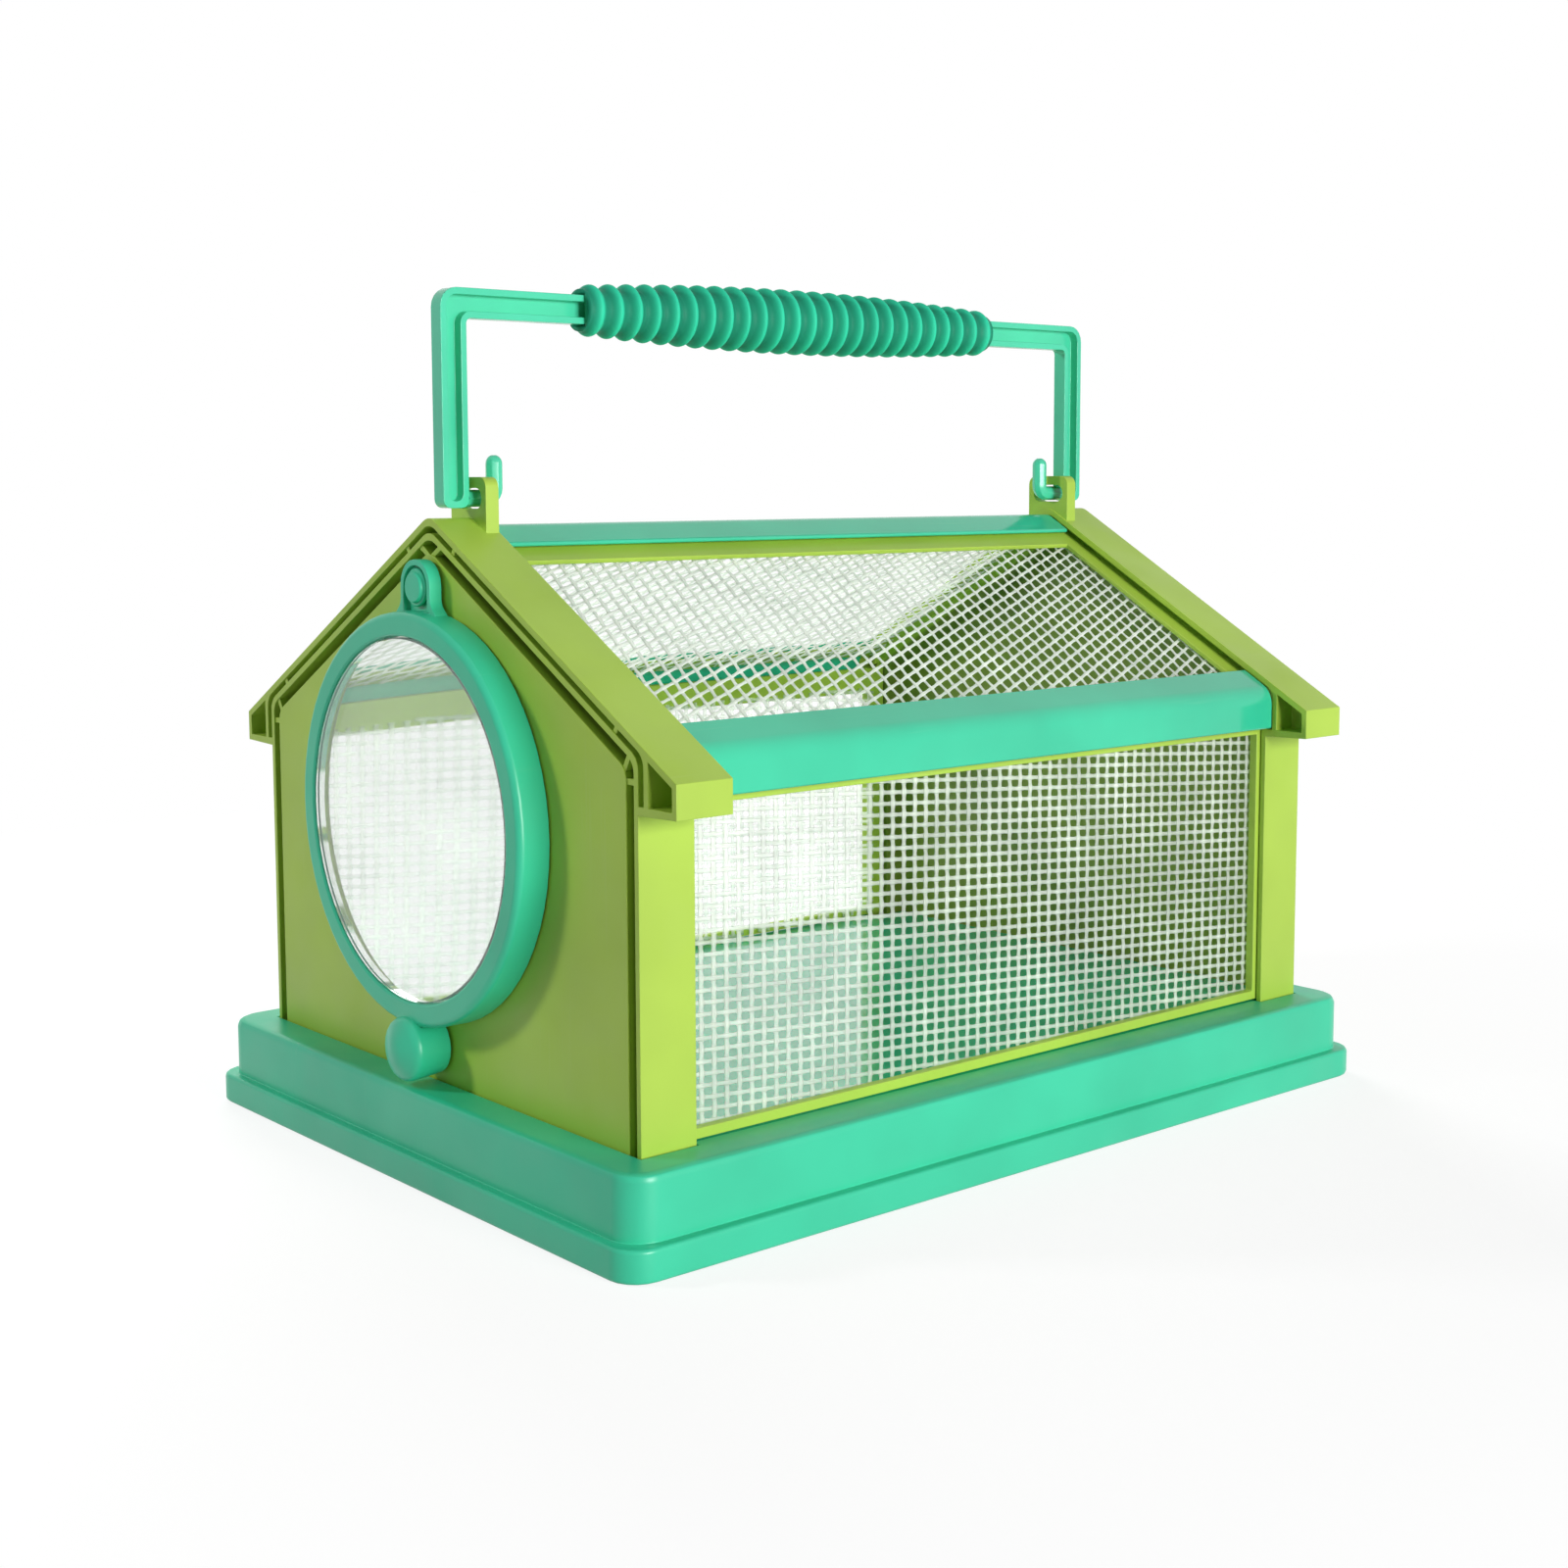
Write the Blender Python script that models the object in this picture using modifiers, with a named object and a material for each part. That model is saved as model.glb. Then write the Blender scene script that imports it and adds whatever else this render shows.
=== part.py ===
"""A child's insect cage shaped like a small house.

A teal base carries two lime end mouldings with ribbed hollow roof edges. Net windows close the
sides and the roof, a round door swings sideways in front of one end, and a handle folds over the
ridge. Metres, +Z up, door end facing -Y, ridge along Y, origin under the middle of the base.
"""

import math

import bmesh
import bpy
from mathutils import Matrix, Vector

MM = 0.001

# Clearances
GAP = 0.3 * MM  # between pieces that touch
OVERCUT = 2.0 * MM  # how far a cutter runs past the face it opens

# House: half spans over the post faces and the end faces; its height follows from the door
POST_HALF_SPAN = 64.5 * MM
END_HALF_SPAN = 89.9 * MM
ROOF_PITCH = math.radians(29.62)
PEAK_RADIUS = 4.0 * MM
EAVE_RADIUS = 3.5 * MM

# Base
BASE_LEDGE = 10.1 * MM  # how far the flange stands out from the walls
BASE_HEIGHT = 17.8 * MM
FLANGE_HEIGHT = 6.05 * MM
FLANGE_STEP = 2.1 * MM
BASE_CORNER = 6.0 * MM
BASE_ROUND = 1.6 * MM
BASE_WALL = 2.2 * MM
BASE_RIB = 4.0 * MM
FLOOR_THICKNESS = 2.7 * MM
SOCKET_DEPTH = 1.5 * MM

# End mouldings, measured inward from the roof's top line and from the end face
END_DEPTH = 11.85 * MM
EDGE_PLATE = 1.3 * MM
EDGE_GROOVE = 1.1 * MM
RIM = 1.2 * MM
PANEL_GROOVE = 2.2 * MM
PANEL_GROOVE_DEPTH = 6.0 * MM
PANEL_WALL = 1.2 * MM
PANEL_THICKNESS = 1.8 * MM
WEB = 1.2 * MM
RIB = 1.1 * MM
PEAK_RIB_AT = 8.0 * MM
EAVE_RIB_INSET = 6.5 * MM
POST_RIB_DROP = 0.2 * MM
EAVE_REACH = 10.44 * MM  # eave box beyond the post face
EAVE_BOX_HEIGHT = 6.05 * MM
EAVE_BOX_WALL = 1.25 * MM
EAVE_BOX_GAP = 1.5 * MM
EAVE_BOX_DRAFT = 0.3 * MM  # fall of the box's underside towards the post

# Window frames, nets and cover strips
COVER_DEPTH = 1.15 * MM  # cover strips below the roof's top line
COVER_THICKNESS = 1.3 * MM
COVER_ROUND = 0.4 * MM
FRAME_THICKNESS = 1.9 * MM
ROOF_FRAME_THICKNESS = 1.0 * MM
FRAME_TUCK = 3.0 * MM  # roof frame under the roof edge
NET_THICKNESS = 0.5 * MM
NET_STRAND = 1.5 * MM
NET_COLUMNS = 14
NET_ROWS = 7
ROOF_STRIP_TOP = 9.8 * MM
ROOF_STRIP_BOTTOM = 4.5 * MM
ROOF_STRIP_END = 6.2 * MM
ROOF_NET_LAP = 2.5 * MM
ROOF_SLOPE_START = 3.0 * MM
ROOF_END_INSET = 2.75 * MM  # roof frame's lower end inside the post face
SIDE_STRIP_BOTTOM = 1.9 * MM
SIDE_STRIP_TOP = 6.3 * MM
SIDE_STRIP_END = 5.4 * MM
SIDE_NET_LAP = 1.4 * MM
EAVE_SLOT = 3.2 * MM  # open slot between roof frame and side frame
RAIL_RISE = 7.6 * MM  # eave rail up the roof slope
RAIL_OVERLAP = 1.9 * MM  # eave rail beyond the post face
RAIL_DROP = 8.0 * MM
CAP_HALF_WIDTH = 7.0 * MM

# Handle, folding about a line along Y just above the ridge
PIVOT_RISE = 3.0 * MM
STUB_RADIUS = 1.65 * MM
EAR_HALF_WIDTH = 6.1 * MM
EAR_THICKNESS = 2.85 * MM
EAR_HEAD = 4.0 * MM  # ear above the pivot line
EAR_RADIUS = 2.0 * MM
SLOT_HALF_WIDTH = 4.5 * MM
LEG_CLEARANCE = 0.75 * MM
LEG_WIDTH = 5.6 * MM
BAIL_THICKNESS = 3.42 * MM
BAIL_HEIGHT = 39.0 * MM  # top of the bar above the pivot line
BAIL_CORNER = 3.6 * MM
BAIL_INNER_CORNER = 1.0 * MM
BAIL_LIP = 1.3 * MM  # rims beside the channel
BAIL_CHANNEL_DEPTH = 2.1 * MM
FINGER_CLEARANCE = 1.0 * MM
FINGER_HEIGHT = 8.2 * MM
FINGER_BEND = 1.9 * MM
GRIP_LENGTH = 110.7 * MM
GRIP_END_RADIUS = 4.9 * MM
GRIP_MIDDLE_RADIUS = 6.75 * MM
GRIP_CORE_RADIUS = 4.1 * MM  # thinnest sleeve round the bar
GRIP_GROOVE_DEPTH = 1.9 * MM
GRIP_RIBS = 25
GRIP_RIB_CREST = 1.5 * MM
GRIP_RIB_FOOT = 4.0 * MM

# Door, swinging about a pin along Y under the peak
PIN_DROP = 13.35 * MM  # pin below the roof's peak
LUG_RISE = 4.4 * MM  # pin above the ring
PIN_RADIUS = 1.6 * MM
PIN_HEAD_RADIUS = 3.6 * MM
PIN_HEAD_STEP = 0.7 * MM
PIN_TAIL = 2.2 * MM  # pin beyond the back of the panel
CLIP_RADIUS = 3.6 * MM
CLIP_THICKNESS = 1.2 * MM
RING_RADIUS = 38.95 * MM
RING_WIDTH = 4.5 * MM
RING_THICKNESS = 6.4 * MM
RING_ROUND = 1.3 * MM
RING_LIP = 1.4 * MM
DOOR_HOLE_LAP = 2.9 * MM  # ring over the edge of the panel's hole
PANE_LAP = 1.85 * MM
PANE_THICKNESS = 1.2 * MM
PANE_RAISE = 1.4 * MM  # middle of the pane up into the ring's hole
PANE_DOME = 0.9 * MM
RETAINER_THICKNESS = 1.0 * MM
LUG_RADIUS = 5.2 * MM
LUG_THICKNESS = 2.6 * MM
LUG_FLOOR = 1.5 * MM
LUG_RIM = 1.1 * MM
LUG_FOOT = 9.0 * MM
KNOB_RADIUS = 6.2 * MM
KNOB_LENGTH = 9.7 * MM
KNOB_SINK = 1.8 * MM  # knob into the ring's outline
KNOB_CLEARANCE = 0.95 * MM  # knob above the base
KNOB_DOME = 1.2 * MM

# Faces along each round
RING_STEPS = 60
SMALL_STEPS = 22
GRIP_STEPS = 16
ARC_STEPS = 5
DOME_STEPS = 3
FLAT_ANGLE = math.radians(0.5)

# Heights and places worked out from the sizes above
SLOPE = math.tan(ROOF_PITCH)
KNOB_CENTRE = BASE_HEIGHT + KNOB_CLEARANCE + KNOB_RADIUS
DOOR_CENTRE = KNOB_CENTRE + KNOB_RADIUS - KNOB_SINK + RING_RADIUS
PIN_HEIGHT = DOOR_CENTRE + RING_RADIUS + LUG_RISE
PEAK = PIN_HEIGHT + PIN_DROP
WALL_FOOT = BASE_HEIGHT - SOCKET_DEPTH + GAP
EAVE_HALF_SPAN = POST_HALF_SPAN + EAVE_REACH
END_INNER = END_HALF_SPAN - END_DEPTH
RIM_TOP = EDGE_PLATE + EDGE_GROOVE
RIM_UNDER = RIM_TOP + RIM
PANEL_EDGE = RIM_UNDER + PANEL_GROOVE
PANEL_INNER = PANEL_EDGE + PANEL_WALL
PANEL_HALF_SPAN = POST_HALF_SPAN - RIM - PANEL_GROOVE
ROOF_FRAME_DEPTH = COVER_DEPTH + COVER_THICKNESS + GAP
ROOF_NET_DEPTH = ROOF_FRAME_DEPTH + ROOF_FRAME_THICKNESS + GAP
ROOF_END_SPAN = POST_HALF_SPAN - ROOF_END_INSET + ROOF_FRAME_DEPTH * math.sin(ROOF_PITCH)
ROOF_SLOPE_END = ROOF_END_SPAN / math.cos(ROOF_PITCH)
ROOF_HALF_LENGTH = END_INNER + FRAME_TUCK
COVER_HALF_LENGTH = END_INNER - GAP
SIDE_FACE = POST_HALF_SPAN - RIM - GAP
SIDE_HALF_LENGTH = END_HALF_SPAN - PANEL_GROOVE_DEPTH - WEB - GAP
SIDE_FOOT = BASE_HEIGHT + GAP
PIVOT = PEAK + PIVOT_RISE
LEG_INNER = END_INNER + GAP + EAR_THICKNESS + LEG_CLEARANCE
LEG_OUTER = LEG_INNER + LEG_WIDTH
BAIL_TOP = PIVOT + BAIL_HEIGHT
BAR_MIDDLE = BAIL_TOP - LEG_WIDTH / 2
DOOR_BACK = END_HALF_SPAN + GAP
RING_HOLE_RADIUS = RING_RADIUS - RING_WIDTH
DOOR_HOLE_RADIUS = RING_RADIUS - DOOR_HOLE_LAP
PANE_RADIUS = RING_HOLE_RADIUS + PANE_LAP
PANE_BACK = RING_THICKNESS - RING_LIP - GAP - PANE_THICKNESS

# Axes of a flat outline: (across, up, thickness) in world directions
FACING_Y = Matrix(((1, 0, 0, 0), (0, 0, -1, 0), (0, 1, 0, 0), (0, 0, 0, 1)))
FACING_X = Matrix(((0, 0, 1, 0), (1, 0, 0, 0), (0, 1, 0, 0), (0, 0, 0, 1)))


def roof_height(across, depth):
    """Height of the roof line that lies this deep below the roof's top line."""
    return PEAK - depth / math.cos(ROOF_PITCH) - SLOPE * abs(across)


def slope_end(depth):
    """Half width of the roof frame's lower end at this depth."""
    return ROOF_SLOPE_END * math.cos(ROOF_PITCH) - depth * math.sin(ROOF_PITCH)


def clear_scene():
    for item in list(bpy.data.objects):
        bpy.data.objects.remove(item)


def new_collection(name):
    collection = bpy.data.collections.new(name)
    bpy.context.scene.collection.children.link(collection)
    return collection


def plastic(name, colour, roughness, alpha=1.0):
    material = bpy.data.materials.new(name)
    material.use_nodes = True
    shader = material.node_tree.nodes["Principled BSDF"]
    shader.inputs["Base Color"].default_value = (*colour, 1.0)
    shader.inputs["Roughness"].default_value = roughness
    shader.inputs["Metallic"].default_value = 0.0
    shader.inputs["Alpha"].default_value = alpha
    material.diffuse_color = (*colour, alpha)
    return material


def rounded(corners, steps=ARC_STEPS):
    """Closed outline through (across, up, radius) corners, each turned by an arc."""
    outline = []
    for index, (across, up, radius) in enumerate(corners):
        corner = Vector((across, up))
        if radius == 0:
            outline.append(corner)
            continue
        before = (Vector(corners[index - 1][:2]) - corner).normalized()
        after = (Vector(corners[(index + 1) % len(corners)][:2]) - corner).normalized()
        half = before.angle(after) / 2
        centre = corner + (before + after).normalized() * radius / math.sin(half)
        start = corner + before * radius / math.tan(half) - centre
        end = corner + after * radius / math.tan(half) - centre
        first = math.atan2(start.y, start.x)
        turn = math.remainder(math.atan2(end.y, end.x) - first, math.tau)
        for step in range(steps + 1):
            angle = first + turn * step / steps
            outline.append(centre + Vector((math.cos(angle), math.sin(angle))) * radius)
    return outline


def rectangle(left, bottom, right, top, radius=0.0):
    corners = ((left, bottom), (right, bottom), (right, top), (left, top))
    return rounded([(across, up, radius) for across, up in corners])


def circle(radius, steps, centre=(0.0, 0.0)):
    angles = [math.tau * step / steps for step in range(steps)]
    middle = Vector(centre)
    return [middle + Vector((math.cos(angle), math.sin(angle))) * radius for angle in angles]


def arch(half_span, depth, foot, eave_radius=EAVE_RADIUS, peak_radius=PEAK_RADIUS):
    """Outline of a house front: two upright sides under two slopes at this roof depth."""
    shoulder = roof_height(half_span, depth)
    return rounded(
        [
            (-half_span, foot, 0),
            (-half_span, shoulder, eave_radius),
            (0, roof_height(0, depth), peak_radius),
            (half_span, shoulder, eave_radius),
            (half_span, foot, 0),
        ]
    )


def baked(holder, plain):
    """Mesh of an object as evaluated, welded; on a plain one each flat area becomes one face."""
    bpy.context.scene.collection.objects.link(holder)
    graph = bpy.context.evaluated_depsgraph_get()
    mesh = bpy.data.meshes.new_from_object(holder.evaluated_get(graph))
    bpy.data.objects.remove(holder)
    welded = bmesh.new()
    welded.from_mesh(mesh)
    bmesh.ops.remove_doubles(welded, verts=welded.verts, dist=0.001 * MM)
    bmesh.ops.recalc_face_normals(welded, faces=welded.faces)
    if plain:
        bmesh.ops.dissolve_limit(welded, angle_limit=FLAT_ANGLE, verts=welded.verts, edges=welded.edges)
    welded.to_mesh(mesh)
    welded.free()
    return mesh


def flat(loops, thickness):
    """Plate in the XY plane, centred on it; inner loops are holes."""
    curve = bpy.data.curves.new("outline", "CURVE")
    curve.dimensions = "2D"
    curve.fill_mode = "BOTH"
    curve.extrude = thickness / 2
    for loop in loops:
        spline = curve.splines.new("POLY")
        spline.points.add(len(loop) - 1)
        for point, (across, up) in zip(spline.points, loop):
            point.co = (across, up, 0, 1)
        spline.use_cyclic_u = True
    return baked(bpy.data.objects.new("outline", curve), len(loops) == 1)


def turned(profile, steps, ring=False):
    """Solid turned about Z from a (radius, height) profile that runs from top to bottom."""
    mesh = bpy.data.meshes.new("profile")
    points = [(radius, 0, height) for radius, height in profile]
    edges = [(index, index + 1) for index in range(len(points) - 1)]
    if ring:
        edges.append((len(points) - 1, 0))
    mesh.from_pydata(points, edges, [])
    holder = bpy.data.objects.new("profile", mesh)
    screw = holder.modifiers.new("turn", "SCREW")
    screw.steps = steps
    screw.render_steps = steps
    screw.use_merge_vertices = True
    screw.merge_threshold = 0.001 * MM
    return baked(holder, not ring)


def rod(points, radii, radius):
    """Round bar along the points; radii scale the bar's radius at each point."""
    curve = bpy.data.curves.new("rod", "CURVE")
    curve.dimensions = "3D"
    curve.bevel_depth = radius
    curve.bevel_resolution = 2
    curve.use_fill_caps = True
    spline = curve.splines.new("POLY")
    spline.points.add(len(points) - 1)
    for point, place, share in zip(spline.points, points, radii):
        point.co = (*place, 1)
        point.radius = share
    return baked(bpy.data.objects.new("rod", curve), False)


def box(low, high):
    mesh = bpy.data.meshes.new("box")
    block = bmesh.new()
    bmesh.ops.create_cube(block, size=1.0)
    size = Vector(high) - Vector(low)
    middle = (Vector(high) + Vector(low)) / 2
    place = Matrix.Translation(middle) @ Matrix.Diagonal((*size, 1))
    bmesh.ops.transform(block, matrix=place, verts=block.verts)
    block.to_mesh(mesh)
    block.free()
    return mesh


def together(meshes):
    """One mesh that holds several separate bodies."""
    mesh = bpy.data.meshes.new("group")
    group = bmesh.new()
    for item in meshes:
        group.from_mesh(item)
    group.to_mesh(mesh)
    group.free()
    return mesh


def moved(mesh, matrix):
    mesh.transform(matrix)
    return mesh


def along_y(loops, middle, length):
    """Plate whose outline is seen along Y, centred on this Y."""
    return moved(flat(loops, length), Matrix.Translation((0, middle, 0)) @ FACING_Y)


def along_x(loops, middle, length):
    """Plate whose outline is seen along X, centred on this X."""
    return moved(flat(loops, length), Matrix.Translation((middle, 0, 0)) @ FACING_X)


def roof_plate(loops, side, depth, thickness):
    """Plate in a roof slope: outline in (along Y, down the slope), top face at this depth."""
    down = Vector((side * math.cos(ROOF_PITCH), 0, -math.sin(ROOF_PITCH)))
    out = Vector((side * math.sin(ROOF_PITCH), 0, math.cos(ROOF_PITCH)))
    along = Vector((0, 1, 0))
    middle = Vector((0, 0, PEAK)) - out * (depth + thickness / 2)
    axes = Matrix((along, down, along.cross(down))).transposed().to_4x4()
    return moved(flat(loops, thickness), Matrix.Translation(middle) @ axes)


def facing_front(mesh, height, back):
    """A turned solid laid along -Y, its foot this far in front of the cage's middle."""
    return moved(mesh, Matrix.Translation((0, -back, height)) @ Matrix.Rotation(math.pi / 2, 4, "X"))


def part(name, mesh, material, origin=(0, 0, 0), smooth_angle=40):
    """A node of the cage, with its origin at the given place."""
    mesh.name = name
    mesh.transform(Matrix.Translation(-Vector(origin)))
    mesh.shade_smooth()
    mesh.set_sharp_from_angle(angle=math.radians(smooth_angle))
    mesh.materials.append(material)
    item = bpy.data.objects.new(name, mesh)
    item.location = origin
    PARTS.objects.link(item)
    return item


def helper(name, mesh):
    """A cutter or a joined shape, left out of the finished cage."""
    mesh.name = name
    item = bpy.data.objects.new(name, mesh)
    item.hide_render = True
    item.display_type = "WIRE"
    CUTTERS.objects.link(item)
    return item


def combine(item, operation, name, mesh):
    tool = helper(f"{item.name}_{name}", mesh)
    modifier = item.modifiers.new(name, "BOOLEAN")
    modifier.operation = operation
    modifier.solver = "EXACT"
    modifier.object = tool
    return tool


def cut(item, name, mesh):
    return combine(item, "DIFFERENCE", name, mesh)


def join(item, name, mesh):
    return combine(item, "UNION", name, mesh)


def soften(item, width):
    """Rounds the item's sharp edges."""
    bevel = item.modifiers.new("soften", "BEVEL")
    bevel.width = width
    bevel.segments = 2
    bevel.limit_method = "ANGLE"
    bevel.angle_limit = math.radians(40)
    return item


def carry(parent, *children):
    """Makes pieces ride on another piece where they are."""
    bpy.context.view_layer.update()
    for child in children:
        child.parent = parent
        child.matrix_parent_inverse = parent.matrix_world.inverted()


def end_layer(loops, side, near, far):
    """Plate of an end moulding between two depths behind its face."""
    middle = side * (END_HALF_SPAN - (near + far) / 2)
    return along_y(loops, middle, far - near)


def band(outer, inner):
    """Closed strip between two open arches that share a foot height."""
    return outer + inner[::-1]


def rib_box(middle, length, tilt, side, near, far):
    """Rib across a groove of an end moulding, tilted in its front view."""
    across = rectangle(-RIB / 2, -length / 2, RIB / 2, length / 2)
    turn = Matrix.Rotation(tilt, 2)
    outline = [turn @ point + Vector(middle) for point in across]
    return end_layer([outline], side, near, far)


def base_tray():
    half_width = POST_HALF_SPAN + BASE_LEDGE
    half_length = END_HALF_SPAN + BASE_LEDGE
    block_width = half_width - FLANGE_STEP
    block_length = half_length - FLANGE_STEP
    flange = flat([rectangle(-half_width, -half_length, half_width, half_length, BASE_CORNER)], FLANGE_HEIGHT)
    tray = part("base_tray", moved(flange, Matrix.Translation((0, 0, FLANGE_HEIGHT / 2))), TEAL)
    soften(tray, BASE_ROUND / 2)
    block_foot = FLANGE_HEIGHT / 2
    block_height = BASE_HEIGHT - block_foot
    outline = rectangle(-block_width, -block_length, block_width, block_length, BASE_CORNER)
    block = flat([outline], block_height)
    upper = join(tray, "block", moved(block, Matrix.Translation((0, 0, block_foot + block_height / 2))))
    soften(upper, BASE_ROUND)
    pocket_x = block_width - BASE_WALL
    pocket_y = block_length - BASE_WALL
    pocket_top = BASE_HEIGHT - FLOOR_THICKNESS
    rib = BASE_RIB / 2
    pockets = []
    for left, right in ((-pocket_x, -rib), (rib, pocket_x)):
        for front, back in ((-pocket_y, -rib), (rib, pocket_y)):
            pockets.append(box((left, front, -OVERCUT), (right, back, pocket_top)))
    cut(tray, "pockets", together(pockets))
    cut(tray, "sockets", together([wall_socket(-1), wall_socket(1)]))
    return tray


def wall_socket(side):
    """Shallow seat in the floor for the foot of an end wall and its two posts."""
    outer_x = POST_HALF_SPAN + GAP
    inner_x = PANEL_HALF_SPAN - PANEL_WALL - GAP
    outer_y = side * (END_HALF_SPAN + GAP)
    wall_y = side * (END_HALF_SPAN - PANEL_THICKNESS - GAP)
    post_y = side * (END_INNER - GAP)
    corners = [
        (-outer_x, outer_y, 0),
        (outer_x, outer_y, 0),
        (outer_x, post_y, 0),
        (inner_x, post_y, 0),
        (inner_x, wall_y, 0),
        (-inner_x, wall_y, 0),
        (-inner_x, post_y, 0),
        (-outer_x, post_y, 0),
    ]
    height = SOCKET_DEPTH + OVERCUT
    middle = BASE_HEIGHT + OVERCUT - height / 2
    return moved(flat([rounded(corners)], height), Matrix.Translation((0, 0, middle)))


def end_outline():
    """Whole front view of an end moulding, with posts, eave boxes and roof edge."""
    eave_top = roof_height(EAVE_HALF_SPAN, 0)
    eave_bottom = eave_top - EAVE_BOX_HEIGHT
    right = [
        (EAVE_HALF_SPAN, eave_top, 0),
        (EAVE_HALF_SPAN, eave_bottom, 0),
        (POST_HALF_SPAN, eave_bottom - EAVE_BOX_DRAFT, 0),
        (POST_HALF_SPAN, WALL_FOOT, 0),
    ]
    left = [(-across, up, radius) for across, up, radius in reversed(right)]
    return rounded([(0, PEAK, PEAK_RADIUS), *right, *left])


def eave_hollow(direction):
    """Front view of the hollow in one eave box."""
    inner = POST_HALF_SPAN + EAVE_BOX_GAP + EAVE_BOX_WALL
    outer = EAVE_HALF_SPAN - EAVE_BOX_WALL
    bottom = roof_height(EAVE_HALF_SPAN, 0) - EAVE_BOX_HEIGHT + EAVE_BOX_WALL
    corners = [
        (inner, bottom, 0),
        (outer, bottom, 0),
        (outer, roof_height(outer, EDGE_PLATE), 0),
        (inner, roof_height(inner, EDGE_PLATE), 0),
    ]
    return rounded([(direction * across, up, radius) for across, up, radius in corners])


def edge_hollows(side, near, far):
    """Hollows of the roof edge on one face of its web: the long groove and both eave boxes."""
    foot = roof_height(EAVE_HALF_SPAN, 0) - EAVE_BOX_HEIGHT + EAVE_BOX_WALL
    outer = arch(POST_HALF_SPAN + EAVE_BOX_GAP, EDGE_PLATE, foot)
    inner = arch(POST_HALF_SPAN, RIM_TOP, foot)
    loops = ([band(outer, inner)], [eave_hollow(-1)], [eave_hollow(1)])
    return together([end_layer(loop, side, near, far) for loop in loops])


def end_ribs(side):
    """Small ribs across the two grooves, at the peak, near the eaves and on the posts."""
    ribs = []
    edge_middle = (EDGE_PLATE + RIM_TOP) / 2
    edge_length = EDGE_GROOVE + EDGE_PLATE
    panel_middle = (RIM_UNDER + PANEL_EDGE) / 2
    panel_length = PANEL_GROOVE + PANEL_WALL
    web_near = (END_DEPTH - WEB) / 2
    for direction in (-1, 1):
        tilt = -direction * ROOF_PITCH
        for across in (PEAK_RIB_AT, POST_HALF_SPAN - EAVE_RIB_INSET):
            place = (direction * across, roof_height(across, edge_middle))
            ribs.append(rib_box(place, edge_length, tilt, side, GAP, web_near + GAP))
        place = (direction * PANEL_HALF_SPAN, roof_height(PANEL_HALF_SPAN, panel_middle))
        ribs.append(rib_box(place, panel_length, tilt, side, GAP, PANEL_GROOVE_DEPTH + GAP))
        post_middle = direction * (POST_HALF_SPAN - RIM - PANEL_GROOVE / 2)
        place = (post_middle, roof_height(POST_HALF_SPAN, PANEL_EDGE) - POST_RIB_DROP)
        ribs.append(rib_box(place, panel_length, math.pi / 2, side, GAP, PANEL_GROOVE_DEPTH + GAP))
        reach = panel_length / math.cos(math.pi / 2 - 2 * ROOF_PITCH)
        foot = Vector((0, roof_height(0, PANEL_EDGE + RIB)))
        lean = Vector((direction * math.cos(ROOF_PITCH), math.sin(ROOF_PITCH)))
        place = foot + lean * reach / 2
        ribs.append(
            rib_box(place, reach, direction * (ROOF_PITCH - math.pi / 2), side, GAP, PANEL_GROOVE_DEPTH + GAP)
        )
    return ribs


def ear_outline():
    """Front view of the handle's ear, its foot inside the roof edge's plate."""
    root = EDGE_PLATE / 2
    top = PIVOT + EAR_HEAD
    return rounded(
        [
            (-EAR_HALF_WIDTH, roof_height(EAR_HALF_WIDTH, root), 0),
            (-EAR_HALF_WIDTH, top, EAR_RADIUS),
            (EAR_HALF_WIDTH, top, EAR_RADIUS),
            (EAR_HALF_WIDTH, roof_height(EAR_HALF_WIDTH, root), 0),
            (0, roof_height(0, root), 0),
        ]
    )


def ear_slot():
    """Long slot that takes the handle's stub and lets its finger through when folded."""
    half_height = STUB_RADIUS + GAP
    return rectangle(
        -SLOT_HALF_WIDTH, PIVOT - half_height, SLOT_HALF_WIDTH, PIVOT + half_height, half_height * 0.95
    )


def end_moulding(name, side):
    below = WALL_FOOT - OVERCUT
    rim_half_span = POST_HALF_SPAN - RIM
    past = END_DEPTH + OVERCUT
    end = part(name, end_layer([end_outline()], side, 0, END_DEPTH), LIME)
    cut(end, "edge_front", edge_hollows(side, -OVERCUT, (END_DEPTH - WEB) / 2))
    cut(end, "edge_back", edge_hollows(side, (END_DEPTH + WEB) / 2, past))
    rim_inside = arch(rim_half_span, RIM_UNDER, below)
    panel_outside = arch(PANEL_HALF_SPAN, PANEL_EDGE, below)
    groove = end_layer([band(rim_inside, panel_outside)], side, -OVERCUT, PANEL_GROOVE_DEPTH)
    cut(end, "groove", groove)
    cut(end, "back", end_layer([rim_inside], side, PANEL_GROOVE_DEPTH + WEB, past))
    panel_inside = arch(PANEL_HALF_SPAN - PANEL_WALL, PANEL_INNER, below)
    cut(end, "pocket", end_layer([panel_inside], side, PANEL_THICKNESS, past))
    seat_foot = roof_height(slope_end(0), ROOF_NET_DEPTH) - EAVE_SLOT / 2
    seat = arch(POST_HALF_SPAN + EAVE_BOX_GAP / 2, EDGE_PLATE + EDGE_GROOVE / 2, seat_foot, 0, 0)
    cut(end, "roof_seat", end_layer([seat], side, END_DEPTH - FRAME_TUCK - GAP, past))
    for index, rib in enumerate(end_ribs(side)):
        join(end, f"rib_{index}", rib)
    join(end, "ear", end_layer([ear_outline()], side, END_DEPTH - GAP - EAR_THICKNESS, END_DEPTH - GAP))
    cut(end, "ear_slot", end_layer([ear_slot()], side, END_DEPTH - EAR_THICKNESS - OVERCUT, past))
    return end


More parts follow.
